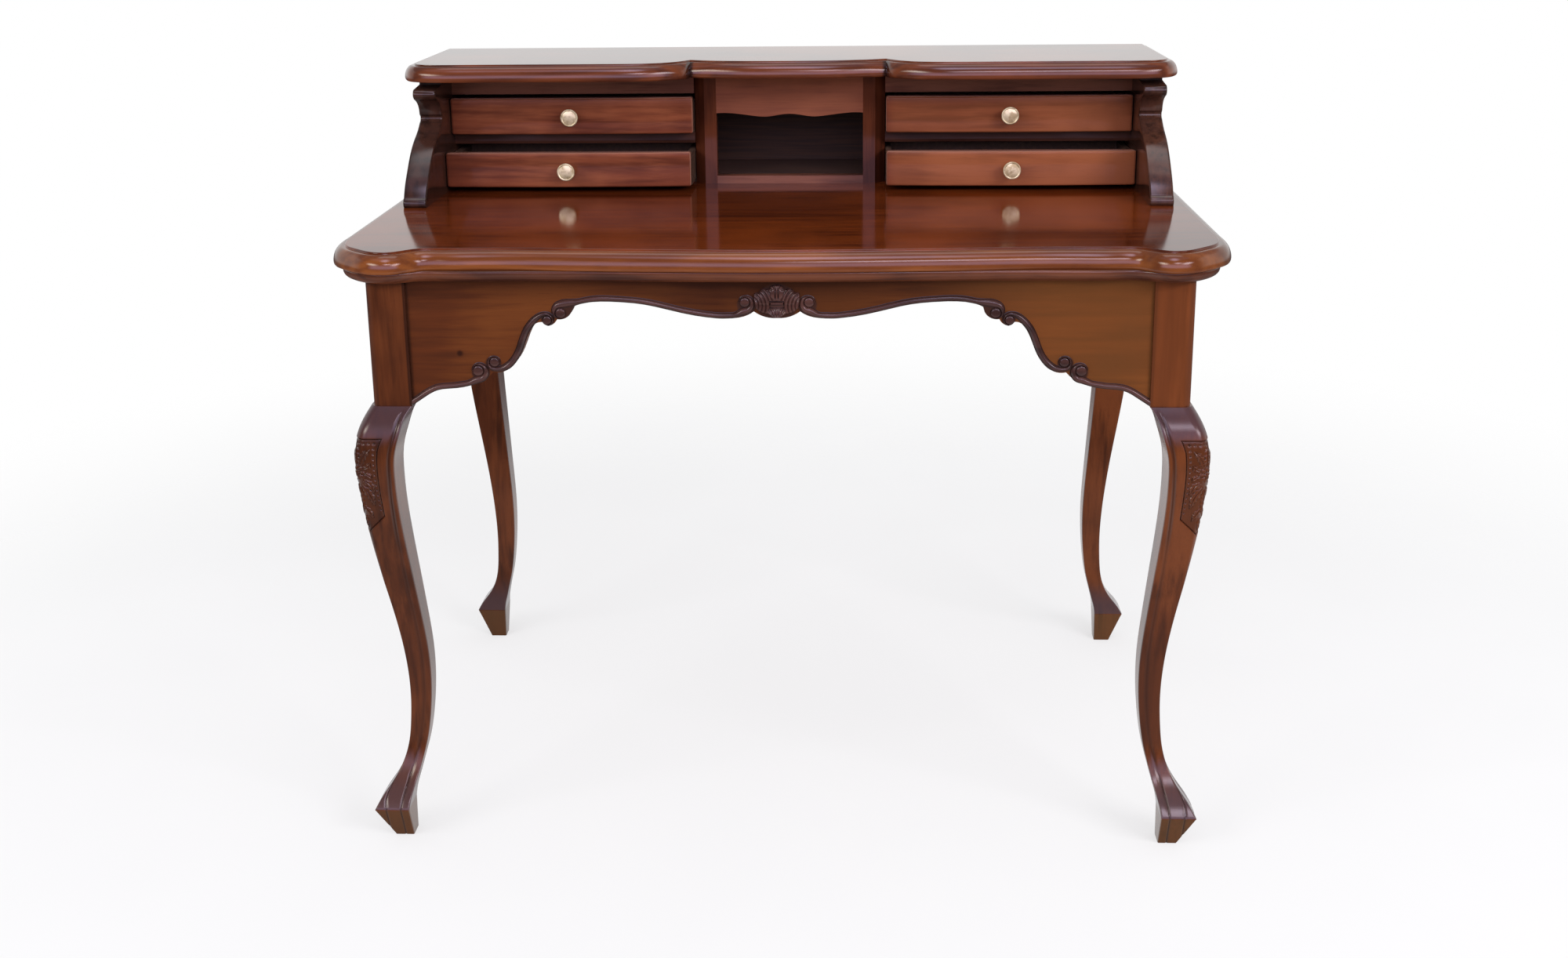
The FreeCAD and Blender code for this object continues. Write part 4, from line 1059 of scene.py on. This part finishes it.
def makeEye(sizes):
    # of unit radius, in metres across and true height
    outline = smoothRuns(sizes["eyeRuns"], 0.22)
    count = sizes["eyeAround"]
    around = np.linspace(0, 2 * math.pi, count, endpoint=False)
    rings = np.array([np.stack([r * np.cos(around), np.full(count, -up * mm), r * np.sin(around)],
                               axis=1) for r, up in outline])
    mesh = bpy.data.meshes.new("volute_eye")
    mesh.from_pydata(rings.reshape(-1, 3).tolist(), [], tubeFaces(len(rings), count))
    # the eye's rim is marked hollow, so it is painted dark as shade
    addValues(mesh, "hollow", "POINT", np.repeat(ramp(outline[:, 0], 0.99, 1.06), count))
    return added("volute_eye", mesh)


def makeScrollBead(tree, side):
    sizes = scrolls
    face = (sizes["faceY"] + postFace) * mm
    curve = bpy.data.curves.new("scroll_path", "CURVE")
    curve.dimensions = "3D"
    for run in sizes["runs"]:
        path = beadPath(sizes, *run)
        spline = curve.splines.new("POLY")
        spline.points.add(len(path) - 1)
        for point, (x, z, width) in zip(spline.points, path):
            point.co = (side * x * mm, face, z * mm, 1)
            point.radius = width * mm
    name = "right" if side > 0 else "left"
    piece = added(f"scroll_bead_{name}", curve)
    volutes = sizes["volutes"].values()
    spots = bpy.data.meshes.new("volute_spots")
    spots.from_pydata([(side * x * mm, face, z * mm) for (x, z), *_ in volutes], [], [])
    addValues(spots, "size", "POINT", [eye * mm for _, eye, *_ in volutes])
    eyes, eye = added("volute_spots", spots), makeEye(sizes)
    carving = piece.modifiers.new("carving", "NODES")
    carving.node_group = tree
    values = {"Face": face, "Proud": sizes["proud"] * mm, "Rim": sizes["rim"] * mm,
              "Rim Proud": sizes["rimProud"] * mm, "Around": sizes["beadAround"], "Eyes": eyes,
              "Eye": eye, "Wood": finishes["carvedWalnut"]}
    for item in tree.interface.items_tree:
        if item.in_out == "INPUT" and item.name in values:
            carving[item.identifier] = values[item.name]
    bead = baked(piece, "carvedWalnut", 50)
    for helper in (eyes, eye):
        bpy.data.objects.remove(helper)
    turnOutwards(bead.data)
    settle(bead, [f"bead_{name}"])


scrollTree = makeScrollTree()
for beadSide in (1, -1):
    makeScrollBead(scrollTree, beadSide)

# Heights are in front of the apron; x and z from the shell's middle and foot.
shell = {
    "foot": 681.9, "faceY": 4.0, "around": 360, "along": 76, "rounding": 1.6, "least": 0.3, "most": 6.4,
    "centreZ": 16.0,      # of the fan of radii
    # outline: angle round that centre (degrees, 90 is up) and radius
    "outline": [(-90, 16.0), (-70, 15.6), (-50, 15.6), (-38, 17.4), (-24, 21.5), (-14, 24.5),
                (0, 26.6), (12, 27.6), (22, 29.2), (29, 28.6), (33, 25.2), (38, 25.6), (46, 25.4),
                (54, 23.6), (60, 20.6), (66, 20.8), (73, 22.6), (81, 23.4), (90, 23.6)],
    "lobe": {"z": 28.8, "reach": 11.0, "high": 6.0, "rim": (6.2, 8.6), "dish": 0.9},
    "slot": {"x": 1.75, "width": 0.75, "depth": 1.8, "start": (20, 25), "end": 36.2},
    "fan": {"centre": (33.0, 14.5), "first": 9.4, "pitch": 4.3, "low": 3.2, "swing": 1.7,
            "thin": 0.25, "thinAt": (20, 29)},
    "curl": {"centre": (14.6, 24.6), "rim": (9.2, 7.4), "high": 0.5},
    "recess": {"side": (7.9, 9.3), "low": (10.6, 11.6), "high": (19.4, 20.8), "floor": 1.7},
    "bar": {"side": (7.0, 7.9), "z": 17.0, "width": 1.25, "high": 3.1},
    "toe": {"z": 2.6, "halfWide": 13.8, "halfHigh": 9.2, "rim": (0.86, 1.0), "ribs": 21.0, "root": 7.0,
            "swellZ": 2.0, "swellReach": 11.5, "high": 5.6, "cut": 1.3, "fade": (0.5, 4.0)},
}


def shellRelief(x, z):
    side = np.abs(x)
    lobe, slot, fan, curl, recess, bar, toe = (
        shell[key] for key in ("lobe", "slot", "fan", "curl", "recess", "bar", "toe"))
    away = np.hypot(side, z - lobe["z"])
    crown = lobe["high"] * np.clip(1 - (away / lobe["reach"]) ** 4, 0, 1) ** 0.5
    crown = crown - lobe["dish"] * ramp(away, *lobe["rim"]) * (away < lobe["reach"])
    cuts = bump(x - slot["x"], slot["width"]) + bump(x + slot["x"], slot["width"])
    crown = crown - slot["depth"] * cuts * ramp(z, *slot["start"]) * (z < slot["end"])
    rays = np.hypot(side - fan["centre"][0], z - fan["centre"][1])
    wave = 0.5 + 0.5 * np.cos((rays - fan["first"]) / fan["pitch"] * 2 * math.pi)
    curled = ramp(np.hypot(side - curl["centre"][0], z - curl["centre"][1]), *curl["rim"])
    flutes = fan["low"] + fan["swing"] * wave ** 0.8 + curl["high"] * curled
    height = np.maximum(flutes * (1 - fan["thin"] * ramp(side, *fan["thinAt"])), crown)
    sunk = (1 - ramp(side, *recess["side"])) * ramp(z, *recess["low"]) * (1 - ramp(z, *recess["high"]))
    height = height * (1 - sunk) + recess["floor"] * sunk
    rail = (1 - ramp(side, *bar["side"])) * bump(z - bar["z"], bar["width"])
    height = height + bar["high"] * rail * sunk
    crescent = 1 - ramp(np.hypot(x / toe["halfWide"], (z - toe["z"]) / toe["halfHigh"]), *toe["rim"])
    ribs = 0.5 + 0.5 * np.cos(np.arctan2(x, z + toe["root"]) * toe["ribs"])
    swell = toe["high"] * dome(z - toe["swellZ"], toe["swellReach"], 0.5)
    cut = toe["cut"] * (1 - ribs) * ramp(z, *toe["fade"])
    return height * (1 - crescent) + crescent * (swell - cut)


def makeShell(sizes):
    angles, radii = np.array(sizes["outline"], float).T
    line = smoothLine(np.column_stack([angles, radii]), 240)
    half = np.linspace(-90, 90, sizes["around"] // 2 + 1)
    reach = np.interp(half, line[:, 0], line[:, 1])
    way = np.radians(np.concatenate([half, 180 - half[-2:0:-1]]))
    reach = np.concatenate([reach, reach[-2:0:-1]])
    face, rounding = sizes["faceY"], sizes["rounding"]
    rings, hollows = [], []
    for share in np.concatenate([[0.0], np.linspace(0.02, 1, sizes["along"])]):
        x = share * reach * np.cos(way)
        z = sizes["centreZ"] + share * reach * np.sin(way)
        rounded = dome(reach * share - reach + rounding, rounding, 0.5)
        rounded = np.where(reach * (1 - share) < rounding, rounded, 1.0)
        height = np.clip(shellRelief(x, z) * (0.35 + 0.65 * rounded), sizes["least"], sizes["most"])
        rings.append(np.stack([x, face - height, z + sizes["foot"]], axis=1))
        hollows.append(hollowOf(shellRelief, x, z, 1.4, 0.9))
    edge = rings[-1].copy()
    edge[:, 1] = face
    rings.append(edge)
    # the shell's edge against the apron is marked hollow, so it is painted dark as shade
    hollows.append(np.ones(len(edge)))
    piece = pieceFrom("apron_shell_carving", placed(rings), "carvedWalnut", 60, hollows)
    settle(piece, ["apron_shell"])


makeShell(shell)
print("apron carving made")


hutch = {
    "front": 455.0, "rear": 612.0, "top": 943.0, "board": 22.5, "edge": 14.0, "endOuter": 507.0,
    "endInner": 476.0, "cusp": (134, 38), "middle": [(0, 61), (70, 57), (112, 47)],
    "wing": [(.0322, 56), (.0831, 74), (.1635, 85), (.2842, 88), (.5523, 87), (.8204, 87), (.933, 85),
             (.9893, 76)],
    "side": 6.0, "sideStart": 55.0, "spread": 1.25,
    # an end panel's front edge: reach before the carcase, share of its height
    "scroll": [[(184.6, 0), (186.4, .012), (187, .032), (186.3, .054), (183.6, .0728)],
               [(183.6, .0728), (181.6, .0836)],
               [(181.6, .0836), (174, .1608), (157, .2765), (136, .3987), (108, .508), (84, .5788),
                (72, .6302)],
               [(72, .6302), (68, .6431), (66, .6752), (70, .701)],
               [(70, .701), (72, .7524), (82, .8167), (96, .8553)],
               [(96, .8553), (100, .8875), (98, .926), (90, .9389)],
               [(90, .9389), (60, .9582)], [(60, .9582), (60, 1)]],
    "scrollRound": 2.6,
}


def hutchRing(sizes, grow, height):
    # plan of the top board: two wings and a middle that meet at the cusps
    cuspX, cuspReach = sizes["cusp"]
    half = sizes["middle"] + [sizes["cusp"]]
    middle = shifted([(-x, -reach) for x, reach in half[:0:-1]] + [(x, -reach) for x, reach in half],
                     grow)
    way = sizes["endOuter"] - cuspX
    wing = shifted([(cuspX, -cuspReach)] + [(cuspX + way * share, -reach)
                                            for share, reach in sizes["wing"]], grow)
    cusp = (cuspX, -cuspReach - sizes["spread"] * grow)
    sideX = sizes["endOuter"] + sizes["side"] + grow
    centre = [(-cusp[0], cusp[1])] + middle[1:-1].tolist() + [cusp]
    right = [cusp] + wing[1:].tolist() + [(sideX, -sizes["sideStart"])]
    left = [(-x, y) for x, y in right[::-1]]
    back = np.linspace(-sizes["sideStart"], sizes["rear"] - sizes["front"], 10)[1:]
    plan = np.concatenate([smoothLine(left, 190), smoothLine(centre, 130)[1:],
                           smoothLine(right, 190)[1:], [(sideX, y) for y in back],
                           [(-sideX, y) for y in back[::-1]]])
    return np.column_stack([plan[:, 0], plan[:, 1] + sizes["front"], np.full(len(plan), height)])


def makeHutchTop():
    rings = [hutchRing(hutch, hutch["edge"] * out, hutch["top"] - hutch["board"] * down)
             for out, down in smoothRuns(deskTop["profile"], 0.035)]
    settle(pieceFrom("crown_board", placed(rings), "crownWalnut", 30), ["hutch_top"])


def makeEndPanel(side):
    # level slices: the front edge follows the scroll, its two arrises are rounded
    sizes = hutch
    low, high = deskTop["height"], sizes["top"] - sizes["board"]
    runs = [[(reach, low + share * (high - low)) for reach, share in run] for run in sizes["scroll"]]
    radius, inner, outer = sizes["scrollRound"], sizes["endInner"], sizes["endOuter"]
    turns = np.linspace(0, math.pi / 2, 7)
    curve, fall = radius * np.cos(turns), radius * np.sin(turns)
    noseX = np.concatenate([outer - radius + curve, inner + radius - fall])
    noseY = np.concatenate([radius - fall, radius - curve])
    rings = []
    for reach, height in smoothRuns(runs, 1.1):
        front = sizes["front"] - reach
        back = np.linspace(sizes["rear"], front + radius, 12)[:-1]
        x = np.concatenate([np.full(len(back), outer), noseX, np.full(len(back), inner)]) * side
        y = np.concatenate([back, front + noseY, back[::-1]])
        rings.append(np.column_stack([x, y, np.full(len(x), height)]))
    name = "right" if side > 0 else "left"
    panel = pieceFrom(f"scroll_end_{name}", placed(rings), "scrollWalnut", 32)
    settle(panel, [f"end_panel_{name}"])


makeHutchTop()
for endSide in (1, -1):
    makeEndPanel(endSide)
print("superstructure made")


drawerNames = ("drawer_ul", "drawer_ll", "drawer_ur", "drawer_lr")
drawerSizes = {
    "bow": 5.0, "samples": 41, "arris": 3.0, "arrisSegments": 4, "arrisAngle": 40,
    # knob turned about its own axis: radius, distance from the drawer front
    "knobRuns": [[(0, 0.05), (7.2, 0.05)], [(7.2, 0.05), (7.5, 1.2), (6.8, 2.6)],
                 [(6.8, 2.6), (4.9, 3.6), (4.3, 6.5), (4.5, 10.4)],
                 [(4.5, 10.4), (8.0, 11.6), (11.2, 13.2)],
                 [(11.2, 13.2), (12.1, 14.1), (12.2, 14.9), (11.8, 15.7)],
                 [(11.8, 15.7), (11.0, 16.1), (10.2, 15.9)], [(10.2, 15.9), (9.6, 15.5), (9.0, 15.7)],
                 [(9.0, 15.7), (5.0, 16.6), (0, 17.0)]],
    "knobAround": 56, "knobLeast": 0.02,
}


def makeDrawerFront(name):
    sizes = drawerSizes
    node = f"{name}_front"
    low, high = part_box(node)
    x = np.linspace(low.x, high.x, sizes["samples"])
    middle, half = (low.x + high.x) / 2, (high.x - low.x) / 2
    face = low.y + sizes["bow"] * mm * ((x - middle) / half) ** 2
    rings = np.array([[(px, py, low.z), (px, py, high.z), (px, high.y, high.z), (px, high.y, low.z)]
                      for px, py in zip(x, face)])
    front = pieceFrom(f"{name}_face", rings, "drawerWalnut")
    edge = front.modifiers.new("arris", "BEVEL")
    edge.width = sizes["arris"] * mm
    edge.segments = sizes["arrisSegments"]
    edge.limit_method = "ANGLE"
    edge.angle_limit = math.radians(sizes["arrisAngle"])
    edge.use_clamp_overlap = True
    settle(baked(front, "drawerWalnut"), [node], name)


def makeKnob(name):
    sizes = drawerSizes
    node = f"{name}_knob"
    low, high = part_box(node)
    centreX, centreZ = (low.x + high.x) / 2, (low.z + high.z) / 2
    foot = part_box(f"{name}_front")[0].y
    around = np.linspace(0, 2 * math.pi, sizes["knobAround"], endpoint=False)
    rings = []
    for radius, stand in smoothRuns(sizes["knobRuns"], 0.5):
        reach = max(radius, sizes["knobLeast"]) * mm
        rings.append(np.stack([centreX + reach * np.cos(around),
                               np.full(len(around), foot - stand * mm),
                               centreZ + reach * np.sin(around)], axis=1))
    knob = pieceFrom(f"{name}_brass_knob", np.array(rings), "agedBrass", 30)
    settle(knob, [node], name)


for drawerName in drawerNames:
    makeDrawerFront(drawerName)
    makeKnob(drawerName)
print("drawers made")


# CAD nodes that stay
nodeFinishes = {
    "apronWalnut": ["apron_front", "apron_rear"],
    "sideWalnut": ["apron_left", "apron_right"],
    "uprightWalnut": ["partition_left", "partition_right", "stile_left", "stile_right"],
    "drawerWalnut": ["pigeonhole_valance"],
    "railWalnut": ["drawer_shelf_left", "drawer_shelf_right", "cornice_rail_left", "cornice_rail_right",
                   "pigeonhole_sill"],
    "innerPine": ["glue_blocks", "hutch_base", "pigeonhole_floor", "hutch_back"],
    "screwSteel": ["top_screws", "hutch_screws"],
    "liningOak": [f"{name}_{board}" for name in drawerNames
                  for board in ("left_side", "right_side", "back", "bottom")],
}
for finishName, nodeNames in nodeFinishes.items():
    for nodeName in nodeNames:
        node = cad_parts[nodeName]
        if not node.material_slots:
            node.data.materials.append(finishes[finishName])
        for place in node.material_slots:
            place.material = finishes[finishName]
print("carried-over nodes dressed:", sum(map(len, nodeFinishes.values())))
